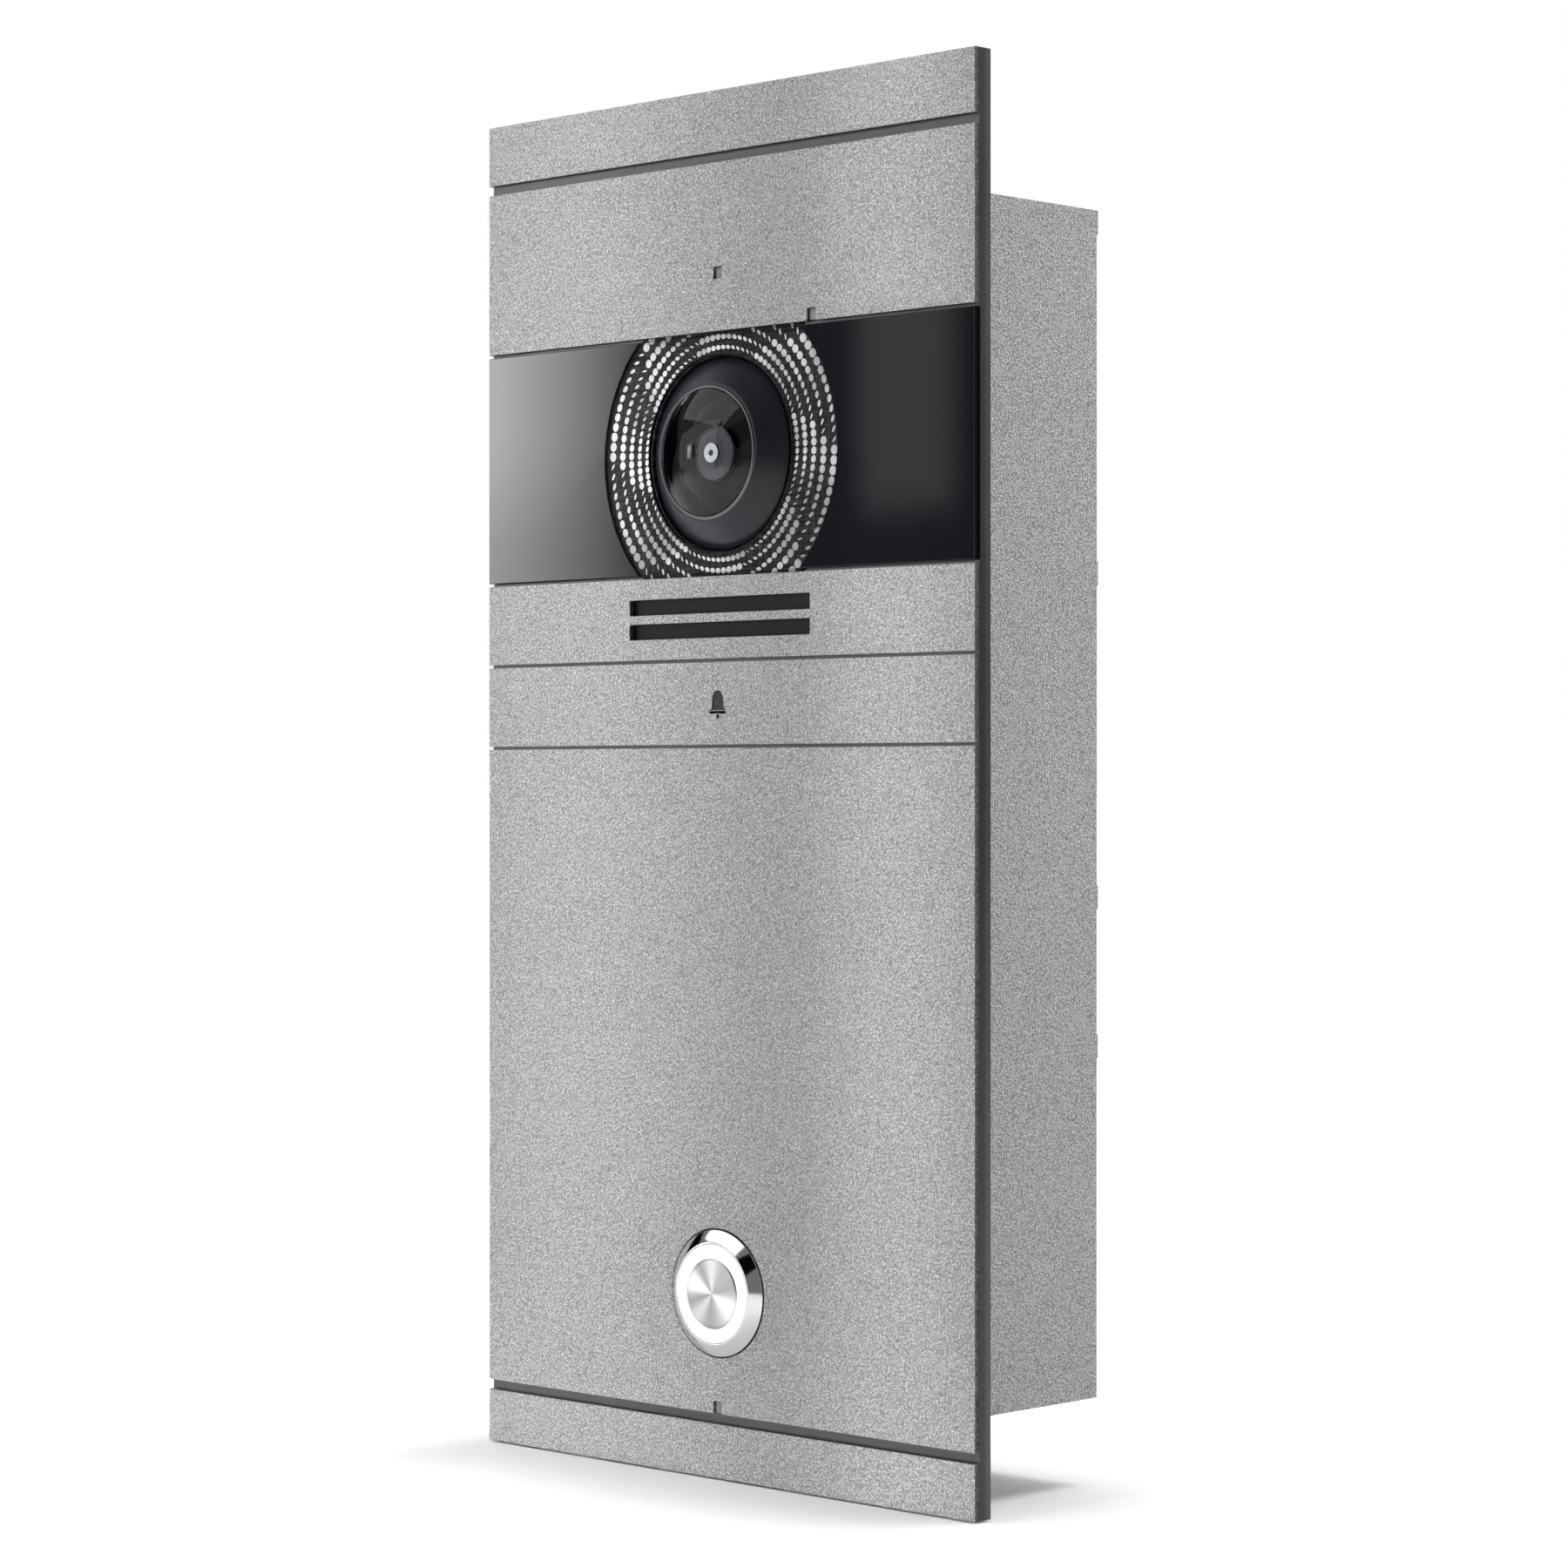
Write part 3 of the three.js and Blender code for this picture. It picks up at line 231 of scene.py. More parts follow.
floor_corners = [
    (x * floor_reach, y * floor_reach, floor_height) for x, y in ((-1, -1), (1, -1), (1, 1), (-1, 1))
]
floor = stage_sheet("floor", floor_corners, floor_finish)
floor.visible_shadow = False

world = bpy.data.worlds.new("surround")
world.use_nodes = True
scene.world = world
surround = world.node_tree
surround.nodes.clear()
world_seen, world_lighting = 1.0, 0.17
seen = surround.nodes.new("ShaderNodeBackground")
lighting = surround.nodes.new("ShaderNodeBackground")
for background, strength in ((seen, world_seen), (lighting, world_lighting)):
    background.inputs["Color"].default_value = (1, 1, 1, 1)
    background.inputs["Strength"].default_value = strength
which = surround.nodes.new("ShaderNodeLightPath")
either = surround.nodes.new("ShaderNodeMixShader")
world_out = surround.nodes.new("ShaderNodeOutputWorld")
surround.links.new(which.outputs["Is Camera Ray"], either.inputs[0])
surround.links.new(lighting.outputs[0], either.inputs[1])
surround.links.new(seen.outputs[0], either.inputs[2])
surround.links.new(either.outputs[0], world_out.inputs["Surface"])

# A translucent wall of light. Its brightest patch is what the left of the window mirrors,
# and a dark pocket beside it is what the right of the window mirrors.
wall_plane = -1.2
wall_left, wall_right = -2.6, -0.3
wall_low, wall_high = -0.14, 0.85
wall_finish = Finish("wall_light")
wall_x, _, wall_z = wall_finish.axes()
wall_even = soft_patch(wall_x, wall_z, wall_left, wall_right, wall_low - 0.1, wall_high, 0.12)
wall_pocket = soft_patch(wall_x, wall_z, -1.44, -0.86, 0.06, 0.37, 0.05)
wall_hint = soft_patch(wall_x, wall_z, -1.045, -0.935, 0.15, 0.45, 0.035)
wall_rise = {0: wall_x, 1: -1.20, 2: -1.36, 3: 0.0, 4: 1.0}
wall_slope = wall_finish.node("ShaderNodeMapRange", {}, wall_rise)
wall_bright = wall_slope * wall_x.ramp(-1.60, -1.40) * (wall_z.ramp(0.14, 0.24) * 0.30 + 0.70)
wall_bright = wall_bright * wall_z.ramp(0.05, 0.12) * (1 - wall_z.ramp(0.30, 0.40))
wall_power = wall_even * 0.9 * (1 - wall_pocket) + wall_hint * 0.60
wall_power = wall_power + wall_pocket * 0.10 + wall_bright * 7.8
wall_finish.show(wall_finish.node("ShaderNodeEmission", {}, {"Strength": wall_power}))
wall_corners = [
    (wall_left, wall_plane, wall_low),
    (wall_right, wall_plane, wall_low),
    (wall_right, wall_plane, wall_high),
    (wall_left, wall_plane, wall_high),
]
wall = stage_sheet("wall_card", wall_corners, wall_finish)
wall.visible_camera = False

# Two black flags that only the polished parts mirror.
flag_finish = Finish("flag_black")
flag_finish.show(flag_finish.node("ShaderNodeBsdfDiffuse", {}, {"Color": (0.002, 0.002, 0.002, 1)}))


def flag(name, middle, along, across):
    middle, along, across = Vector(middle), Vector(along), Vector(across)
    corners = [middle - along - across, middle + along - across]
    corners += [middle + along + across, middle - along + across]
    board = stage_sheet(name, corners, flag_finish)
    board.visible_camera = board.visible_diffuse = board.visible_shadow = False


flag("flag_left", (-1.24, -0.08, 0.29), (0.07, -0.19, 0.19), (0.10, -0.22, -0.22))
flag("flag_front", (0.20, -1.07, 0.50), (-0.145, 0.055, 0.14), (0.20, 0.0, 0.20))


def lamp(name, place, aim, width, height, power, spread=180, glossy=True):
    data = bpy.data.lights.new(name, "AREA")
    data.shape = "RECTANGLE"
    data.size = width
    data.size_y = height
    data.energy = power
    data.spread = math.radians(spread)
    made = bpy.data.objects.new(name, data)
    scene.collection.objects.link(made)
    made.location = place
    made.rotation_euler = (Vector(aim) - Vector(place)).to_track_quat("-Z", "Y").to_euler()
    made.visible_camera = False
    made.visible_glossy = glossy
    return made


band_back = 0.42
band_tall = 0.66
for name, band_x, width, power, spread in (
    ("band_left", -0.046, 0.02, 0.073, 17),
    ("band_right", 0.052, 0.006, 0.036, 8.5),
):
    band_aim = Vector((band_x, plate_face, panel_middle.z))
    band_place = (band_x, plate_face - band_back, panel_middle.z)
    lamp(name, band_place, band_aim, width, band_tall, power, spread, glossy=False)
lamp("key", (-0.95, -1.0, 0.95), (0, -0.05, 0), 0.22, 0.22, 15.2, glossy=False)
lamp("foot_fill", (-0.05, -0.60, 0.03), (0, -0.05, -0.150), 0.5, 0.03, 0.025, 8, glossy=False)
lamp("top_front", (-0.65, -0.75, 0.85), (0, -0.05, -0.05), 1.35, 0.6, 2.8)
lamp("side_key", (1.05, 0.40, 0.95), (0, -0.02, 0), 0.3, 0.3, 1.45)
lamp("side_wash", (1.3, 0.55, 0.25), (0, 0, 0), 0.5, 1.0, 1.15)
lamp("overhead", (0.35, 0.55, 2.2), (0, 0, -0.14), 0.9, 0.9, 3.6, 60)
lamp("left_wash", (-1.35, 0.45, 0.75), (0, 0, 0), 1.0, 1.0, 7.0)
lamp("rear_wash", (0.5, 1.5, 0.6), (0, 0, 0), 0.8, 0.8, 9.0)


# ---------------------------------------------------------------------------------------
# Front plates. Each is 1.3 mm sheet steel with a light grey powder coat that dries into
# fine ridges, crests painted pale as highlights; its cut edges take a darker copy of the coat as painted
# shade. Studs behind push into the carrier.
# ---------------------------------------------------------------------------------------
def powder_coat():
    """Crests painted pale as painted highlights and valleys painted darker as painted shade, over a grey that
    drifts at random.
    """
    finish = Finish("powder_coat", "powder_coat")
    pebbles = 1 - finish.cells(2100)
    ridges = finish.noise(3500, 1.0, 0.5)
    height = pebbles * 0.45 + ridges * 0.55
    crest_highlight_mask = height.ramp(0.57, 0.67)
    valley_shade_mask = 1 - height.ramp(0.32, 0.48)
    drift = finish.noise(22, 2)
    # The tone paints highlights on the crests and shade in the valleys.
    tone = (0.43 + crest_highlight_mask * 0.95 - valley_shade_mask * 0.26 + drift * 0.06).clamp()
    finish.show(
        finish.principled(
            Base_Color=finish.colour(tone, grey(0.15), grey(1.0)),
            Metallic=0.25,
            Roughness=0.55 - crest_highlight_mask * 0.25,
            Normal=finish.bump(height, 1.3 * MM, 1.0),
        )
    )
    return finish


coat = powder_coat()


# The cut edges are the same powder coat as the face, given a darker copy of it as painted shade.
def painted_shade_edge_coat():
    finish = Finish("cut_edge", "powder_coat")
    grain = finish.noise(2100, 2.0)
    finish.show(
        finish.principled(
            Base_Color=finish.colour(grain.ramp(0.42, 0.72), grey(0.03), grey(0.16)),
            Metallic=0.2,
            Roughness=0.55,
            Normal=finish.bump(grain, 0.3 * MM, 0.7),
        )
    )
    return finish


edge_coat_shade = painted_shade_edge_coat()


def add_piece(name, mesh, finishes, nodes, body=STATION):
    """A finished piece: its materials, the body it moves with and the CAD nodes it stands for."""
    for finish in finishes:
        mesh.materials.append(finish.material)
    piece = bpy.data.objects.new(name, mesh)
    scene.collection.objects.link(piece)
    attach(piece, body)
    if nodes:
        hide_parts(*nodes)
    return piece


def even_shading(piece, angle=35):
    piece.data.shade_smooth()
    piece.data.set_sharp_from_angle(angle=math.radians(angle))
    weighted = piece.modifiers.new("even shading", "WEIGHTED_NORMAL")
    weighted.keep_sharp = True
    return piece


def rectangle(left, right, low, high):
    return [(left, low), (right, low), (right, high), (left, high)]


def circle(x, z, radius, count=96):
    turns = [2 * math.pi * i / count for i in range(count)]
    return [(x + radius * math.cos(t), z + radius * math.sin(t)) for t in turns]


def flat_sheet(name, outline, holes, front, back, edge):
    """A sheet lying in the plane of the front, cut along its outline and holes, edges rounded."""
    curve = bpy.data.curves.new(name, "CURVE")
    curve.dimensions = "2D"
    curve.fill_mode = "BOTH"
    curve.extrude = (back - front) / 2 - edge
    curve.bevel_depth = edge
    curve.bevel_resolution = 2
    curve.offset = -edge
    for loop, inner in [(outline, False)] + [(hole, True) for hole in holes]:
        spline = curve.splines.new("POLY")
        spline.points.add(len(loop) - 1)
        spline.use_cyclic_u = True
        ordered = loop[::-1] if inner else loop
        for point, (x, z) in zip(spline.points, ordered):
            point.co = (x, z, 0, 1)
    cutter = bpy.data.objects.new(name, curve)
    scene.collection.objects.link(cutter)
    settled = cutter.evaluated_get(bpy.context.evaluated_depsgraph_get())
    mesh = bpy.data.meshes.new_from_object(settled)
    bpy.data.objects.remove(cutter)
    mesh.transform(Matrix.Translation((0, (front + back) / 2, 0)) @ Matrix.Rotation(math.pi / 2, 4, "X"))
    build = bmesh.new()
    build.from_mesh(mesh)
    bmesh.ops.remove_doubles(build, verts=build.verts, dist=1e-6)
    bmesh.ops.recalc_face_normals(build, faces=build.faces)
    build.to_mesh(mesh)
    build.free()
    mesh.name = name
    return mesh


def edge_finish(mesh, limit=0.35):
    """The cut edges, which face sideways, take the second finish."""
    for face in mesh.polygons:
        face.material_index = 0 if abs(face.normal.y) > limit else 1


edge_round = 0.18 * MM
sheet_thickness = 1.3 * MM
plate_back = plate_face + sheet_thickness


def plate(name, holes=(), outline=None):
    low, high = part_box(name)
    outline = outline or rectangle(low.x, high.x, low.z, high.z)
    mesh = flat_sheet(name + "_coated", outline, holes, plate_face, plate_back, edge_round)
    edge_finish(mesh)
    return even_shading(add_piece(name + "_coated", mesh, [coat, edge_coat_shade], [name]))


def notched(name, middle, width, height):
    """The outline of a plate with a small notch cut up into its lower edge."""
    low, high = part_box(name)
    left, right = middle - width / 2, middle + width / 2
    return [
        (low.x, low.z),
        (left, low.z),
        (left, low.z + height),
        (right, low.z + height),
        (right, low.z),
        (high.x, low.z),
        (high.x, high.z),
        (low.x, high.z),
    ]


notch_width = 2.5 * MM
notch_height = 2.7 * MM
sensor_notch = 28 * MM
port_half = 1.3 * MM
capsule_low, capsule_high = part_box("microphone_capsule")
port_z = (capsule_low.z + capsule_high.z) / 2
port = rectangle(-port_half, port_half, port_z - port_half, port_z + port_half)
plate("top_strip")
plate("upper_plate", [port], notched("upper_plate", sensor_notch, notch_width, notch_height))
bezel_low, bezel_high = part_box("button_bezel")
button_z = (bezel_low.z + bezel_high.z) / 2
button_hole = circle(0, button_z, bezel_high.x + 0.3 * MM, 128)
plate("lower_plate", [button_hole], notched("lower_plate", 0, notch_width, notch_height))
plate("bottom_strip")

# Grey cloth plugs close the two notches and the microphone port just below the face.
cloth = Finish("port_cloth", "rubber")
weave = cloth.noise(2600, 1)
cloth.show(
    cloth.principled(Base_Color=cloth.colour(weave, grey(0.16), grey(0.34)), Roughness=0.75 + weave * 0.1)
)
plug_gap = 0.08 * MM
plug_front = plate_face + 0.7 * MM
plug_back = plate_face + 1.2 * MM


def plug(name, middle, half, bottom, top):
    outline = rectangle(middle - half + plug_gap, middle + half - plug_gap, bottom, top - plug_gap)
    add_piece(name, flat_sheet(name, outline, [], plug_front, plug_back, 0.03 * MM), [cloth], [])


for name, owner, middle in (
    ("sensor_plug", "upper_plate", sensor_notch),
    ("drain_plug", "lower_plate", 0),
):
    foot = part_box(owner)[0].z
    plug(name, middle, notch_width / 2, foot + 0.2 * MM, foot + notch_height)
plug("port_plug", 0, port_half, port_z - port_half + plug_gap, port_z + port_half)

slot_half = 27.5 * MM
slot_height = 3.4 * MM
slot_pitch = 5.35 * MM
speaker_low, speaker_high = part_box("speaker_plate")
slot_middle = (speaker_low.z + speaker_high.z) / 2
slots = []
for side in (-1, 1):
    slot_z = slot_middle + side * slot_pitch / 2
    slots.append(rectangle(-slot_half, slot_half, slot_z - slot_height / 2, slot_z + slot_height / 2))
plate("speaker_plate", slots)


# ---------------------------------------------------------------------------------------
# Name plate. A bell is engraved in the middle of the strip, cut through the coat and
# filled with black enamel that lies 0.3 mm below the face.
# ---------------------------------------------------------------------------------------
name_low, name_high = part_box("name_plate")
sign_middle = (name_low.z + name_high.z) / 2
bell_height = 6.2 * MM
bell_half = 2.35 * MM


def bell_outline():
    """Up the right side from the rim, over the crown and down the left side."""
    steps = 18
    right = []
    for i in range(steps + 1):
        up = i / steps
        swell = math.sqrt(max(0.0, 1 - max(0.0, (up - 0.42) / 0.58) ** 2))
        flare = 0.30 * max(0.0, 1 - up / 0.22) ** 2
        z = sign_middle - 0.24 * bell_height + up * 0.70 * bell_height
        right.append((bell_half * (0.72 * swell + flare), z))
    right[-1] = (0.02 * MM, right[-1][1])
    return right + [(-x, z) for x, z in reversed(right)]


rim_z = sign_middle - 0.30 * bell_height
bell_rim = rectangle(-bell_half, bell_half, rim_z - 0.28 * MM, rim_z + 0.02 * MM)
clapper = circle(0, rim_z - 0.98 * MM, 0.5 * MM, 28)
plate("name_plate", [bell_outline(), bell_rim, clapper])

enamel = Finish("black_enamel", "powder_coat")
enamel_grain = enamel.noise(900, 2)
enamel.show(
    enamel.principled(
        Base_Color=enamel.colour(enamel_grain, grey(0.008), grey(0.02)),
        Roughness=0.35 + enamel_grain * 0.2,
        Normal=enamel.bump(enamel_grain, 0.05 * MM, 0.4),
    )
)
fill_half = bell_half + 0.8 * MM
fill_mesh = flat_sheet(
    "engraving_fill",
    rectangle(-fill_half, fill_half, sign_middle - bell_height / 2 - MM, sign_middle + bell_height / 2 + MM),
    [],
    plate_face + 0.32 * MM,
    plate_face + 0.9 * MM,
    0.05 * MM,
)
add_piece("engraving_fill", fill_mesh, [enamel], [])


# ---------------------------------------------------------------------------------------
# Carrier. A 3.5 mm aluminium plate, smooth and dark anodised, that holds every part. It
# shows at its four edges, in the two wide grooves and round the wall box behind.
# ---------------------------------------------------------------------------------------
def smooth_metal(name, slot, light, dark, rough, scale, depth):
    finish = Finish(name, slot)
    lines = finish.noise(1.0, 2, 0.6, finish.stretched(scale))
    cloud = finish.noise(30, 3)
    finish.show(
        finish.principled(
            Base_Color=finish.colour((lines * 0.5 + cloud * 0.5).clamp(), dark, light),
            Metallic=1.0,
            Roughness=rough + cloud * 0.12,
            Normal=finish.bump(lines, depth * MM, 0.5),
        )
    )
    return finish


def eased(node, width, finish, angle=30, smooth=False):
    """A CAD node keeps its shape; its corners are eased by a narrow bevel."""
    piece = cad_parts[node]
    piece.data.materials.clear()
    piece.data.materials.append(finish.material)
    weld = piece.modifiers.new("weld", "WELD")
    weld.merge_threshold = 1e-6
    if not smooth:
        planes = piece.modifiers.new("planes", "DECIMATE")
        planes.decimate_type = "DISSOLVE"
        planes.angle_limit = math.radians(1)
    if width:
        bevel = piece.modifiers.new("eased edges", "BEVEL")
        bevel.width = width
        bevel.segments = 2
        bevel.limit_method = "ANGLE"
        bevel.angle_limit = math.radians(angle)
        bevel.use_clamp_overlap = True
        bevel.harden_normals = False
    return piece


def anodised_plate():
    """Brushed and pale where the plates leave the face bare, darker on the sawn edges."""
    finish = Finish("anodised", "carrier_metal")
    y = finish.axes()[1]
    lines = finish.noise(1.0, 2, 0.6, finish.stretched((30, 900, 900)))
    cloud = finish.noise(30, 3)
    inside = y.ramp(carrier_low.y + 0.02 * MM, carrier_low.y + 0.25 * MM)
    rear = y.ramp(carrier_low.y + 1.2 * MM, carrier_low.y + 2.6 * MM)
    edge = finish.colour((rear * 0.6 + lines * 0.4).clamp(), grey(0.055), grey(0.14))
    face = finish.colour(lines, grey(0.09), grey(0.16))
    both = finish.node("ShaderNodeMix", {"data_type": "RGBA"}, {0: inside, 6: face, 7: edge}, output=2)
    finish.show(
        finish.principled(
            Base_Color=both,
            Metallic=0.85,
            Roughness=0.24 + cloud * 0.1,
            Normal=finish.bump(lines, 0.012 * MM, 0.5),
        )
    )
    return finish


anodised = anodised_plate()
eased("carrier", 0.22 * MM, anodised, 40)

foam = Finish("seal_foam", "rubber")
pores = foam.cells(1700)
foam.show(
    foam.principled(
        Base_Color=foam.colour(pores.ramp(0.1, 0.7), grey(0.005), grey(0.014)),
        Roughness=0.9,
        Normal=foam.bump(pores, 0.2 * MM, 0.7),
    )
)
eased("wall_gasket", 0.0, foam)


# ---------------------------------------------------------------------------------------
# Camera window. One pane of toughened glass the full width of the front, backed by a black
# print on each side of the reflector disc; the lens stands through a round hole in it.
# ---------------------------------------------------------------------------------------
def clear_pane(name, slot, tint, rough=0.015, straight=0.04, bloomed=0.0, middle=0.0):
    """Glass seen through without bending, mirroring more the more it is seen from the side.
    Inside the bloomed radius a coating takes most of that away; outside it the glass is
    printed on its back and lets no light through."""
    finish = Finish(name, slot)
    through = finish.node("ShaderNodeBsdfTransparent", {}, {"Color": (*tint, 1)})
    smear = finish.noise(14, 3)
    mirror = finish.node(
        "ShaderNodeBsdfGlossy", {}, {"Color": (1, 1, 1, 1), "Roughness": rough + smear * 0.02}
    )
    slant = finish.node("ShaderNodeLayerWeight", {}, {"Blend": 0.5}, output="Facing")
    share = straight + (1 - straight) * slant**5
    if bloomed:
        x, _, z = finish.axes()
        z = z - middle
        printed = ((x * x + z * z) ** 0.5).ramp(bloomed, bloomed + 0.1 * MM)
        share = share * 0.12
    pane = finish.node("ShaderNodeMixShader", {}, {0: share, 1: through, 2: mirror})
    if bloomed:
        backed = finish.principled(
            Base_Color=(0.004, 0.005, 0.007), Roughness=rough + smear * 0.02, IOR=1.5
        )
        pane = finish.node("ShaderNodeMixShader", {}, {0: printed, 1: pane, 2: backed})
    return finish.show(pane)


lens_low, lens_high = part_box("lens_bezel")
lens_z = (lens_low.z + lens_high.z) / 2
bezel_radius = lens_high.x
window_low, window_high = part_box("camera_window")
disc_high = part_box("reflector_disc")[1]
disc_radius = disc_high.x
well = circle(0, lens_z, bezel_radius + 0.6 * MM, 128)
pane_back = plate_face + 0.9 * MM
aperture = 36.0 * MM

glass_tint = (0.97, 0.975, 0.98)
bloom = aperture - 0.5 * MM
glass = clear_pane("window_glass", "black_glass", glass_tint, bloomed=bloom, middle=lens_z)
glass_back = clear_pane("window_glass_back", "black_glass", glass_tint, straight=0.0)
pane_mesh = flat_sheet(
    "window_pane",
    rectangle(window_low.x, window_high.x, window_low.z, window_high.z),
    [well],
    plate_face,
    pane_back,
    0.15 * MM,
)
print_black = Finish("back_print", "black_glass")
print_cloud = print_black.noise(60, 3)
print_black.show(
    print_black.principled(
        Base_Color=print_black.colour(print_cloud, (0.004, 0.005, 0.007), (0.008, 0.010, 0.013)),
        Roughness=0.7 + print_cloud * 0.1,
        Specular_IOR_Level=0.0,
    )
)
for face in pane_mesh.polygons:
    face.material_index = 0 if face.normal.y < -0.6 else (1 if face.normal.y > 0.6 else 2)
even_shading(add_piece("window_pane", pane_mesh, [glass, glass_back, print_black], ["camera_window"]))


def print_half(side):
    """The print beside the disc's aperture, whose round edge runs from the top to the bottom."""
    half_height = (window_high.z - window_low.z) / 2 - 0.1 * MM
    reach = math.asin(half_height / aperture)
    steps = 40
    arc = []
    for i in range(steps + 1):
        angle = -reach + 2 * reach * i / steps
        arc.append((side * aperture * math.cos(angle), lens_z + aperture * math.sin(angle)))
    edge = side * (window_high.x - 0.1 * MM)
    outline = arc + [(edge, lens_z + half_height), (edge, lens_z - half_height)]
    return outline if side < 0 else outline[::-1]


for side, word in ((-1, "left"), (1, "right")):
    name = "window_print_" + word
    mesh = flat_sheet(name, print_half(side)[::-1], [], pane_back + 0.05 * MM, window_high.y, 0.02 * MM)
    add_piece(name, mesh, [print_black], [])


# ---------------------------------------------------------------------------------------
# Reflector disc. A black aluminium disc with a fine straight grain, screen printed with
# five rings of pale dots that swell and shrink eight times round the lens.
# ---------------------------------------------------------------------------------------
def brushed_black():
    finish = Finish("disc_black", "printed_reflector")
    across = finish.noise(1.0, 3, 0.7, finish.stretched((60, 60, 3200)))
    along = finish.noise(1.0, 3, 0.7, finish.stretched((3200, 60, 60)))
    grain = across * 0.5 + along * 0.5
    finish.show(
        finish.principled(
            Base_Color=finish.colour(grain.ramp(0.42, 0.72), grey(0.005), grey(0.085)),
            Metallic=0.0,
            Roughness=0.5,
            Specular_IOR_Level=0.15,
            Normal=finish.bump(grain, 0.03 * MM, 0.5),
        )
    )
    return finish


disc_black = brushed_black()
dome_low, dome_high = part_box("lens_dome")
flat = disc_high.z - lens_z
disc_face = pane_back + 0.12 * MM


def flattened_disc(radius, half_height, count=72):
    reach = math.asin(half_height / radius)
    arc = [-reach + 2 * reach * i / count for i in range(count + 1)]
    right = [(radius * math.cos(a), lens_z + radius * math.sin(a)) for a in arc]
    return right + [(-x, z) for x, z in reversed(right)]


disc_mesh = flat_sheet(
    "reflector_plate",
    flattened_disc(disc_radius, flat),
    [circle(0, lens_z, bezel_radius + 0.5 * MM, 96)],
    disc_face,
    disc_high.y,
    0.05 * MM,
)
even_shading(add_piece("reflector_plate", disc_mesh, [disc_black], ["reflector_disc"]))

ink = Finish("dot_ink", "printed_reflector")
ink_tone = (ink.noise(70, 1).ramp(0.36, 0.62) * 0.8 + ink.noise(900, 2) * 0.2).clamp()
ink.show(
    ink.principled(
        Base_Color=ink.colour(ink_tone, grey(0.30, (0.97, 1.0, 1.0)), grey(0.86, (0.99, 1.0, 1.0))),
        Roughness=0.38,
        Normal=ink.bump(ink.noise(2500, 1), 0.04 * MM, 0.5),
    )
)
ring_radius = 33.8 * MM
ring_shrink = 0.908
ring_count = 5
dots_per_swell = 12
swells = 8
swell_lag = math.radians(5)
dot_sides = 14
ink_height = 0.05 * MM


def ink_dots():
    build = bmesh.new()
    step = 2 * math.pi / (swells * dots_per_swell)
    for ring in range(ring_count):
        scale = ring_shrink**ring
        radius = ring_radius * scale
        for i in range(swells * dots_per_swell):
            angle = (i + 0.5) * step
            phase = ((angle - swell_lag * ring) % (dots_per_swell * step)) / (dots_per_swell * step)
            swell = min(1.0, phase * 1.25)
            across = (0.19 + 0.78 * swell) * MM * scale
            along = (0.76 + 0.26 * swell) * MM * scale
            lean = -math.radians(42) * (1 - swell)
            x, z = radius * math.cos(angle), lens_z + radius * math.sin(angle)
            if abs(z - lens_z) > flat - 1.2 * MM:
                continue
            loop = []
            for k in range(dot_sides):
                turn = 2 * math.pi * k / dot_sides
                u, v = across * math.cos(turn), along * math.sin(turn)
                u, v = u * math.cos(lean) - v * math.sin(lean), u * math.sin(lean) + v * math.cos(lean)
                px = x + u * math.cos(angle) - v * math.sin(angle)
                pz = z + u * math.sin(angle) + v * math.cos(angle)
                loop.append((px, pz))
            top = [build.verts.new((px, disc_face - ink_height, pz)) for px, pz in loop]
            bottom = [build.verts.new((px, disc_face, pz)) for px, pz in loop]
            build.faces.new(top)
            build.faces.new(bottom[::-1])
            for k in range(dot_sides):
                after = (k + 1) % dot_sides
                build.faces.new((top[after], top[k], bottom[k], bottom[after]))
    bmesh.ops.recalc_face_normals(build, faces=build.faces)
    mesh = bpy.data.meshes.new("reflector_dots")
    build.to_mesh(mesh)
    build.free()
    return mesh


add_piece("reflector_dots", ink_dots(), [ink], [])


# ---------------------------------------------------------------------------------------
# Lens bezel. A turned aluminium cone, black anodised, with the cutter's fine rings left
# on it; it stands through the glass, and a bright ring caps its front edge.
# ---------------------------------------------------------------------------------------
def rounded(profile, radius, steps=4):
    """A closed (radius, y) profile with each corner replaced by a small arc of points."""
    made = []
    count = len(profile)
    for i in range(count):
        here = Vector(profile[i])
        before = Vector(profile[i - 1]) - here
        after = Vector(profile[(i + 1) % count]) - here
        if here.x < 1e-7 or min(before.length, after.length) < 1e-7:
            made.append(tuple(here))
            continue
        reach = min(radius, before.length * 0.45, after.length * 0.45)
        first, last = here + before.normalized() * reach, here + after.normalized() * reach
        for k in range(steps + 1):
            t = k / steps
            made.append(tuple(first.lerp(here, t).lerp(here.lerp(last, t), t)))
    return made


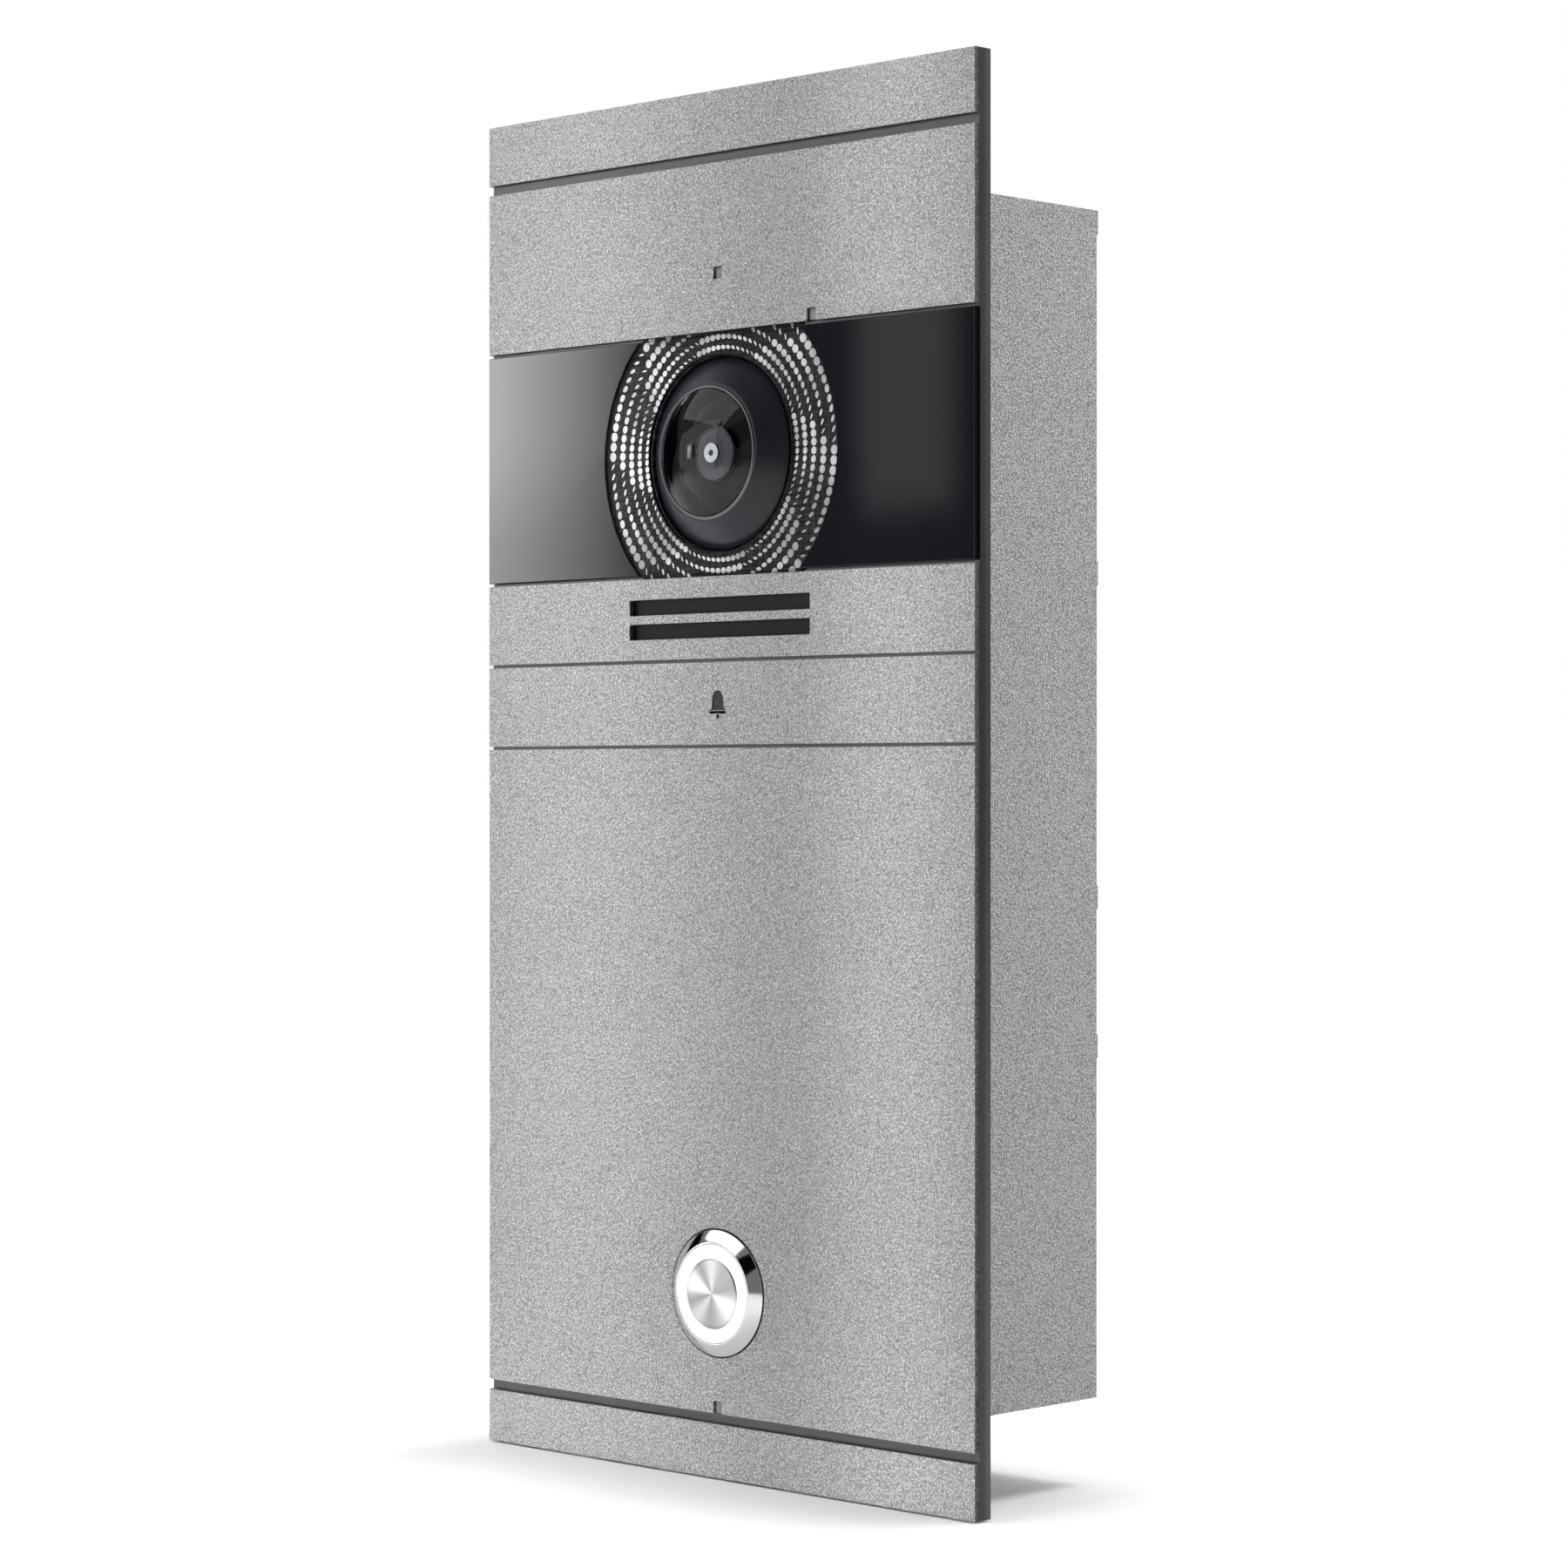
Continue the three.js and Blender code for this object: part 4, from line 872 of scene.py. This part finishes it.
def turned(name, profile, middle_z, finishes, nodes, body=STATION, steps=160, angle=40):
    """A piece turned about the line through (0, middle_z) from a (radius, y) profile."""
    build = bmesh.new()
    rings = []
    for radius, y in profile:
        if radius < 1e-7:
            rings.append([build.verts.new((0, y, middle_z))])
            continue
        turns = [2 * math.pi * i / steps for i in range(steps)]
        rings.append(
            [build.verts.new((radius * math.cos(t), y, middle_z + radius * math.sin(t))) for t in turns]
        )
    for first, second in zip(rings, rings[1:] + rings[:1]):
        if len(first) == 1 and len(second) == 1:
            continue
        for i in range(steps):
            after = (i + 1) % steps
            corners = [first[i % len(first)], first[after % len(first)]]
            corners += [second[after % len(second)], second[i % len(second)]]
            unique = list(dict.fromkeys(corners))
            build.faces.new(unique)
    bmesh.ops.recalc_face_normals(build, faces=build.faces)
    mesh = bpy.data.meshes.new(name)
    build.to_mesh(mesh)
    build.free()
    piece = add_piece(name, mesh, finishes, nodes, body)
    piece.data.shade_smooth()
    piece.data.set_sharp_from_angle(angle=math.radians(angle))
    return piece


def around(finish, middle_z):
    """Distance from, and angle about, the line through (0, middle_z)."""
    x, y, z = finish.axes()
    z = z - middle_z
    distance = (x * x + z * z) ** 0.5
    angle = z.math("ARCTAN2", z, x)
    return distance, angle, y


def turned_metal(
    name, slot, middle_z, light, dark, rough, pitch, metallic=1.0, groove=0.012, wear=0.1, shine=0.5
):
    """Metal with the fine rings of a lathe or a spun brush, which spread light sideways."""
    finish = Finish(name, slot)
    distance, angle, depth = around(finish, middle_z)
    rings = finish.rings((distance + depth) / pitch)
    cloud = finish.noise(120, 2)
    finish.show(
        finish.principled(
            Base_Color=finish.colour((rings * 0.7 + cloud * 0.3).clamp(), dark, light),
            Metallic=metallic,
            Roughness=rough + cloud * wear,
            Specular_IOR_Level=shine,
            Normal=finish.bump(rings, groove * MM, 0.45),
        )
    )
    return finish


cone_light, cone_dark = (0.012, 0.014, 0.024), (0.003, 0.004, 0.008)
black_cone = turned_metal(
    "cone_black", "black_metal", lens_z, cone_light, cone_dark, 0.26, 0.20 * MM, 0.0
)
bezel_top = lens_low.y
bezel_inner = dome_high.x + 0.2 * MM
bezel_flare = 5.8 * MM
bezel_sink = 1.6 * MM
cone_profile = [
    (bezel_radius - bezel_flare, bezel_top),
    (bezel_radius, plate_face + bezel_sink),
    (bezel_radius, lens_high.y),
    (bezel_inner, lens_high.y),
    (bezel_inner, bezel_top),
]
turned("lens_cone", rounded(cone_profile, 0.25 * MM), lens_z, [black_cone], ["lens_bezel"])

bright = turned_metal("bright_ring", "chrome", lens_z, grey(0.20), grey(0.14), 0.25, 0.3 * MM)
trim_low, trim_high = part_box("lens_trim_ring")
trim_profile = [
    (trim_high.x, trim_high.y),
    (trim_high.x - 0.35 * MM, trim_low.y),
    (bezel_inner, trim_low.y),
    (bezel_inner, trim_high.y),
]
turned("lens_ring_bright", rounded(trim_profile, 0.12 * MM), lens_z, [bright], ["lens_trim_ring"])


# ---------------------------------------------------------------------------------------
# Lens. A coated glass dome over a black stepped barrel; the inner lens sits in the
# barrel's mouth with an aperture ring in front of it, coloured pale as a painted highlight.
# ---------------------------------------------------------------------------------------
def arc_profile(apex, rim_radius, rim_y, steps=14):
    """Points of a shallow cap from its apex on the axis to its rim."""
    rise = rim_y - apex
    radius = (rim_radius**2 + rise**2) / (2 * rise)
    span = math.asin(rim_radius / radius)
    angles = [span * i / steps for i in range(steps + 1)]
    return [(radius * math.sin(a), apex + radius * (1 - math.cos(a))) for a in angles]


dome_glass = clear_pane("dome_glass", "clear_glass", (0.92, 0.93, 0.95), 0.01, 0.036)
dome_radius = dome_high.x
dome_rim = dome_high.y - 2.0 * MM
dome_inner = dome_radius - 2.0 * MM
dome_outside = arc_profile(dome_low.y, dome_radius, dome_rim, 24)
dome_inside = arc_profile(dome_low.y + 2.3 * MM, dome_inner, dome_high.y, 16)
dome_back = clear_pane("dome_inside", "clear_glass", (0.92, 0.93, 0.95), straight=0.0)
dome = turned(
    "dome_lens",
    dome_outside + [(dome_radius, dome_high.y)] + dome_inside[::-1],
    lens_z,
    [dome_glass, dome_back],
    ["lens_dome"],
    steps=128,
)
for face in dome.data.polygons:
    face.material_index = 1 if face.normal.y > 0 else 0

barrel_black = turned_metal(
    "barrel_black", "black_plastic", lens_z, grey(0.008), grey(0.004), 0.5, 0.5 * MM, 0.0, shine=0.06
)
barrel_low, barrel_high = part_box("lens_barrel")
lens_inner_low, lens_inner_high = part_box("inner_lens")
barrel_radius = barrel_high.x
barrel_seat = barrel_high.y - 4 * MM
barrel_wide, barrel_narrow = 8 * MM, 3 * MM
mouth = lens_inner_high.x + 0.1 * MM
mouth_floor = lens_inner_high.y + 0.2 * MM
step_down = 0.32 * MM
barrel_profile = [
    (barrel_radius, barrel_low.y),
    (barrel_radius, barrel_high.y),
    (barrel_wide, barrel_high.y),
    (barrel_wide, barrel_seat),
    (barrel_narrow, barrel_seat),
    (barrel_narrow, mouth_floor),
    (mouth, mouth_floor),
]
baffle_steps = 5
for i in range(baffle_steps):
    inner = mouth + (barrel_radius - 1.0 * MM - mouth) * i / baffle_steps
    outer = mouth + (barrel_radius - 1.0 * MM - mouth) * (i + 1) / baffle_steps
    level = barrel_low.y + step_down * (baffle_steps - i)
    barrel_profile += [(inner, level), (outer, level)]
turned("barrel_baffle", barrel_profile, lens_z, [barrel_black], ["lens_barrel"], steps=96)

front_element = Finish("front_element", "clear_glass")
element_distance = around(front_element, lens_z)[0]
element_ring = element_distance.ramp(3.4 * MM, 3.7 * MM)
element_ring = element_ring * (1 - element_distance.ramp(5.2 * MM, 5.6 * MM))
front_element.show(
    front_element.principled(
        Base_Color=front_element.colour(element_ring, grey(0.008), (0.030, 0.031, 0.034)),
        Roughness=0.08 + element_ring * 0.12,
        Coat_Weight=0.6,
        Coat_Roughness=0.02,
    )
)
element_rim = lens_inner_low.y + 0.7 * MM
element_profile = arc_profile(lens_inner_low.y, lens_inner_high.x, element_rim, 12)
element_profile += [(lens_inner_high.x, lens_inner_high.y), (0, lens_inner_high.y)]
turned("front_lens", element_profile, lens_z, [front_element], ["inner_lens"], steps=96)

aperture_low, aperture_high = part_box("aperture_ring")
# The aperture ring is coloured pale as a painted highlight, the bright ring seen in the lens.
pale = Finish("aperture_ring_highlight", "steel")
pale_cloud = pale.noise(900, 2)
pale.show(
    pale.principled(
        Base_Color=pale.colour(pale_cloud, grey(0.55), grey(0.78)), Metallic=0.1, Roughness=0.35
    )
)
aperture_profile = [
    (aperture_high.x, aperture_high.y),
    (aperture_high.x, aperture_low.y),
    (0.7 * MM, aperture_low.y),
    (0.7 * MM, aperture_high.y),
]
turned("aperture_bright", rounded(aperture_profile, 0.05 * MM), lens_z, [pale], ["aperture_ring"], steps=64)


# ---------------------------------------------------------------------------------------
# Call button. A chromed bush with a bevelled head; in it the translucent plunger glows
# as a white ring round a spun-brushed steel cap. Plunger, cap and switch stem move as one.
# ---------------------------------------------------------------------------------------
chrome = turned_metal(
    "button_chrome", "chrome", button_z, grey(0.86), grey(0.80), 0.07, 0.4 * MM, groove=0.0, wear=0.03
)
ring_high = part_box("light_ring")[1]
cap_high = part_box("button_cap")[1]
head_radius = bezel_high.x
button_face = bezel_low.y
bush_radius = head_radius - 1.4 * MM
bore_radius = ring_high.x + 0.2 * MM
lip_radius = bore_radius - 0.75 * MM
head_top = lip_radius + 0.35 * MM
lip_back = button_face + 2.0 * MM
carrier_face = plate_back + 0.1 * MM
head_back = carrier_face - 0.35 * MM
thread_pitch = 1.0 * MM
thread_depth = 0.35 * MM
head_profile = [
    (head_top, button_face),
    (head_radius, plate_face - 0.15 * MM),
    (head_radius, head_back),
    (bush_radius, head_back),
]
threads = int((bezel_high.y - carrier_face - 5 * MM) / thread_pitch)
for i in range(threads):
    crest = carrier_face + 4.4 * MM + i * thread_pitch
    head_profile += [(bush_radius, crest), (bush_radius - thread_depth, crest + thread_pitch / 2)]
head_profile += [(bush_radius, bezel_high.y), (bore_radius, bezel_high.y), (bore_radius, lip_back)]
head_profile += [(lip_radius, lip_back), (lip_radius, button_face)]
turned("button_head", rounded(head_profile, 0.15 * MM, 3), button_z, [chrome], ["button_bezel"])

glow = Finish("lit_ring", "lit_plastic")
glow_distance = around(glow, button_z)[0]
glow_inner, glow_outer = cap_high.x, lip_radius
glow_core = glow_distance.ramp(glow_inner - 0.2 * MM, glow_inner + 0.5 * MM)
glow_core = glow_core * (1 - glow_distance.ramp(glow_outer - 0.6 * MM, glow_outer + 0.05 * MM))
glow.show(
    glow.principled(
        Base_Color=glow.colour(glow_core, (0.42, 0.44, 0.50), (0.80, 0.80, 0.82)),
        Roughness=0.28,
        Emission_Color=glow.colour(glow_core, (0.20, 0.21, 0.27), (1.0, 1.0, 1.0)),
        Emission_Strength=0.95,
        Coat_Weight=0.3,
    )
)
plunger_radius = lip_radius - 0.2 * MM
pocket = cap_high.x + 0.12 * MM
pocket_floor = button_face + 1.22 * MM
stem_hole = 2.02 * MM
flange_front = lip_back + 0.1 * MM
skirt_outer = plunger_radius - 0.55 * MM
skirt_inner = skirt_outer - 1.4 * MM
plunger_profile = [
    (plunger_radius, button_face),
    (plunger_radius, flange_front),
    (ring_high.x, flange_front),
    (ring_high.x, flange_front + 1.4 * MM),
    (skirt_outer, flange_front + 1.4 * MM),
    (skirt_outer, ring_high.y),
    (skirt_inner, ring_high.y),
    (skirt_inner, pocket_floor + 1.0 * MM),
    (stem_hole, pocket_floor + 1.0 * MM),
    (stem_hole, pocket_floor),
    (pocket, pocket_floor),
    (pocket, button_face),
]
turned("plunger_lit", rounded(plunger_profile, 0.12 * MM, 3), button_z, [glow], ["light_ring"], "call_button")

spun = Finish("spun_steel", "brushed_steel")
spun_distance, spun_angle, _ = around(spun, button_z)
spun_lines = spun.rings(spun_distance / (0.09 * MM))
# The bright and dark wedges painted round the cap are painted highlights of the spun grain: how many go
# round, how strong and how far turned.
spun_painted_highlights = (
    (2, 0.20, 2.60),
    (3, 0.09, 3.55),
    (4, 0.19, 3.24),
    (5, 0.12, -0.03),
    (6, 0.11, 3.81),
)
spun_grain_and_highlights = 0.64 + spun_lines * 0.08
for folds, share, turn in spun_painted_highlights:
    spun_grain_and_highlights = spun_grain_and_highlights + (spun_angle * folds + turn).sine() * share
spun_grain_and_highlights = spun_grain_and_highlights.clamp()
spun.show(
    spun.principled(
        Base_Color=spun.colour(spun_grain_and_highlights, grey(0.04), grey(1.0)),
        Metallic=1.0,
        Roughness=0.30,
        Normal=spun.bump(spun_lines, 0.01 * MM, 0.4),
    )
)
cap_radius = cap_high.x
cap_back = button_face + 1.1 * MM
stem_radius = 1.9 * MM
cap_profile = [
    (0, button_face + 0.06 * MM),
    (cap_radius - 0.5 * MM, button_face),
    (cap_radius, button_face + 0.2 * MM),
    (cap_radius, cap_back),
    (stem_radius, cap_back),
    (stem_radius, cap_high.y),
    (0, cap_high.y),
]
turned("cap_brushed", rounded(cap_profile, 0.12 * MM, 3), button_z, [spun], ["button_cap"], "call_button")


# ---------------------------------------------------------------------------------------
# Wall box. Folded from 1.2 mm sheet and coated like the front: four walls with ears for
# the panel screws, and a back whose tabbed corners are welded in. Grommets close the
# cable entries at the top and the bottom.
# ---------------------------------------------------------------------------------------
eased("box_walls", 0.3 * MM, coat, 60)
eased("box_back", 0.2 * MM, coat, 60)

rubber = Finish("moulded_rubber", "rubber")
rubber_grain = rubber.noise(1300, 3)
rubber.show(
    rubber.principled(
        Base_Color=rubber.colour(rubber_grain, grey(0.018), grey(0.042)),
        Roughness=0.62 + rubber_grain * 0.2,
        Normal=rubber.bump(rubber_grain, 0.05 * MM, 0.5),
    )
)
for name in ("cable_grommet", "blank_grommet"):
    eased(name, 0.25 * MM, rubber, 25)
for name in ("speaker_gasket", "microphone_boot", "bezel_gasket", "speaker_surround"):
    eased(name, 0.0, rubber, smooth=True)


# ---------------------------------------------------------------------------------------
# Inside parts, hidden once the station is closed: boards, terminals, cover, loudspeaker,
# screws and leads. They keep their CAD shapes and get their real materials.
# ---------------------------------------------------------------------------------------
def moulded(name, slot, light, dark, rough=0.5, scale=1500, depth=0.04):
    finish = Finish(name, slot)
    grain = finish.noise(scale, 2)
    cloud = finish.noise(40, 2)
    finish.show(
        finish.principled(
            Base_Color=finish.colour((grain * 0.5 + cloud * 0.5).clamp(), dark, light),
            Roughness=rough + grain * 0.15,
            Normal=finish.bump(grain, depth * MM, 0.5),
        )
    )
    return finish


def circuit_board():
    """Green mask over copper tracks that run across and up the board."""
    finish = Finish("circuit_board", "circuit_board")
    x, _, z = finish.axes()
    runs = (x * 2600).sine().ramp(0.55, 0.8) * finish.noise(70, 0).ramp(0.5, 0.54)
    climbs = (z * 2600).sine().ramp(0.55, 0.8) * (1 - finish.noise(70, 0).ramp(0.46, 0.5))
    tracks = (runs + climbs).clamp()
    pads = 1 - finish.cells(260, random=0.6).ramp(0.13, 0.17)
    mask = finish.colour(tracks, (0.010, 0.075, 0.030), (0.030, 0.150, 0.065))
    mixed = finish.node(
        "ShaderNodeMix", {"data_type": "RGBA"}, {0: pads, 6: mask, 7: (0.62, 0.60, 0.55, 1)}, output=2
    )
    finish.show(
        finish.principled(
            Base_Color=mixed,
            Metallic=pads * 0.8,
            Roughness=0.34,
            Normal=finish.bump((tracks + pads).clamp(), 0.04 * MM, 0.6),
        )
    )
    return finish


black_moulding = moulded("black_moulding", "black_plastic", grey(0.030), grey(0.018), 0.45)
green_moulding = moulded("terminal_green", "terminal_green", (0.06, 0.30, 0.10), (0.04, 0.22, 0.07), 0.4)
white_moulding = moulded("switch_white", "lit_plastic", grey(0.80), grey(0.70), 0.4)
cone_paper = moulded("cone_paper", "speaker_paper", grey(0.050), grey(0.020), 0.8, 700, 0.12)
film = moulded("flex_film", "film", (0.50, 0.22, 0.04), (0.40, 0.16, 0.03), 0.3)
board = circuit_board()
zinc = smooth_metal("zinc_plate", "steel", grey(0.62), grey(0.48), 0.24, (300, 300, 300), 0.02)
plated = smooth_metal("screw_zinc", "steel", grey(0.66), grey(0.52), 0.2, (900, 900, 900), 0.02)
wire = smooth_metal("spring_wire", "spring_steel", grey(0.60), grey(0.46), 0.2, (500, 500, 500), 0.01)
copper_light, copper_dark = (0.80, 0.38, 0.20), (0.62, 0.26, 0.12)
copper = smooth_metal("coil_copper", "copper", copper_light, copper_dark, 0.25, (20, 6000, 20), 0.1)
# The speaker grille is black, and painted darker still as painted shade for the slots in front of it.
grille_black_and_shade = Finish("speaker_mesh", "black_metal")
mesh_holes = grille_black_and_shade.cells(1300, random=0.0).ramp(0.30, 0.36)
grille_black_and_shade.show(
    grille_black_and_shade.principled(
        Base_Color=grille_black_and_shade.colour(mesh_holes, grey(0.0008), grey(0.004)),
        Metallic=0.3,
        Roughness=0.5,
        Normal=grille_black_and_shade.bump(mesh_holes, 0.2 * MM, 0.8),
    )
)

for name, finish in {
    "speaker_mesh": grille_black_and_shade,
    "ir_board": board,
    "sensor_board": board,
    "button_led_board": board,
    "main_board": board,
    "electronics_cover": black_moulding,
    "switch_body": black_moulding,
    "relay": black_moulding,
    "network_terminal": green_moulding,
    "power_terminal": green_moulding,
    "processor_shield": zinc,
    "button_nut": plated,
    **{f"cover_screw_{i}": plated for i in range(1, 5)},
    **{f"panel_screw_{i}": plated for i in range(1, 5)},
}.items():
    eased(name, 0.1 * MM, finish)
for name, finish in {
    "camera_housing": black_moulding,
    "speaker_frame": zinc,
    "speaker_magnet": zinc,
    "microphone_capsule": zinc,
    "capacitor": black_moulding,
    "speaker_cone": cone_paper,
    "voice_coil": copper,
    "switch_stem": white_moulding,
    "camera_flex": film,
    "speaker_lead": black_moulding,
    "microphone_lead": black_moulding,
    "button_lead": black_moulding,
}.items():
    eased(name, 0.0, finish, smooth=True)

# On the real station the spring's rear end stays put and its front follows the pressed button; here the coil
# is copied in place as one piece with the wire finish.
spring = bpy.data.objects["return_spring"]
coil_mesh = spring.data.copy()
coil_mesh.transform(spring.matrix_world)
coil_mesh.materials.clear()
coil = add_piece("spring_coil", coil_mesh, [wire], ["return_spring"])
coil.data.shade_smooth()
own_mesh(coil)
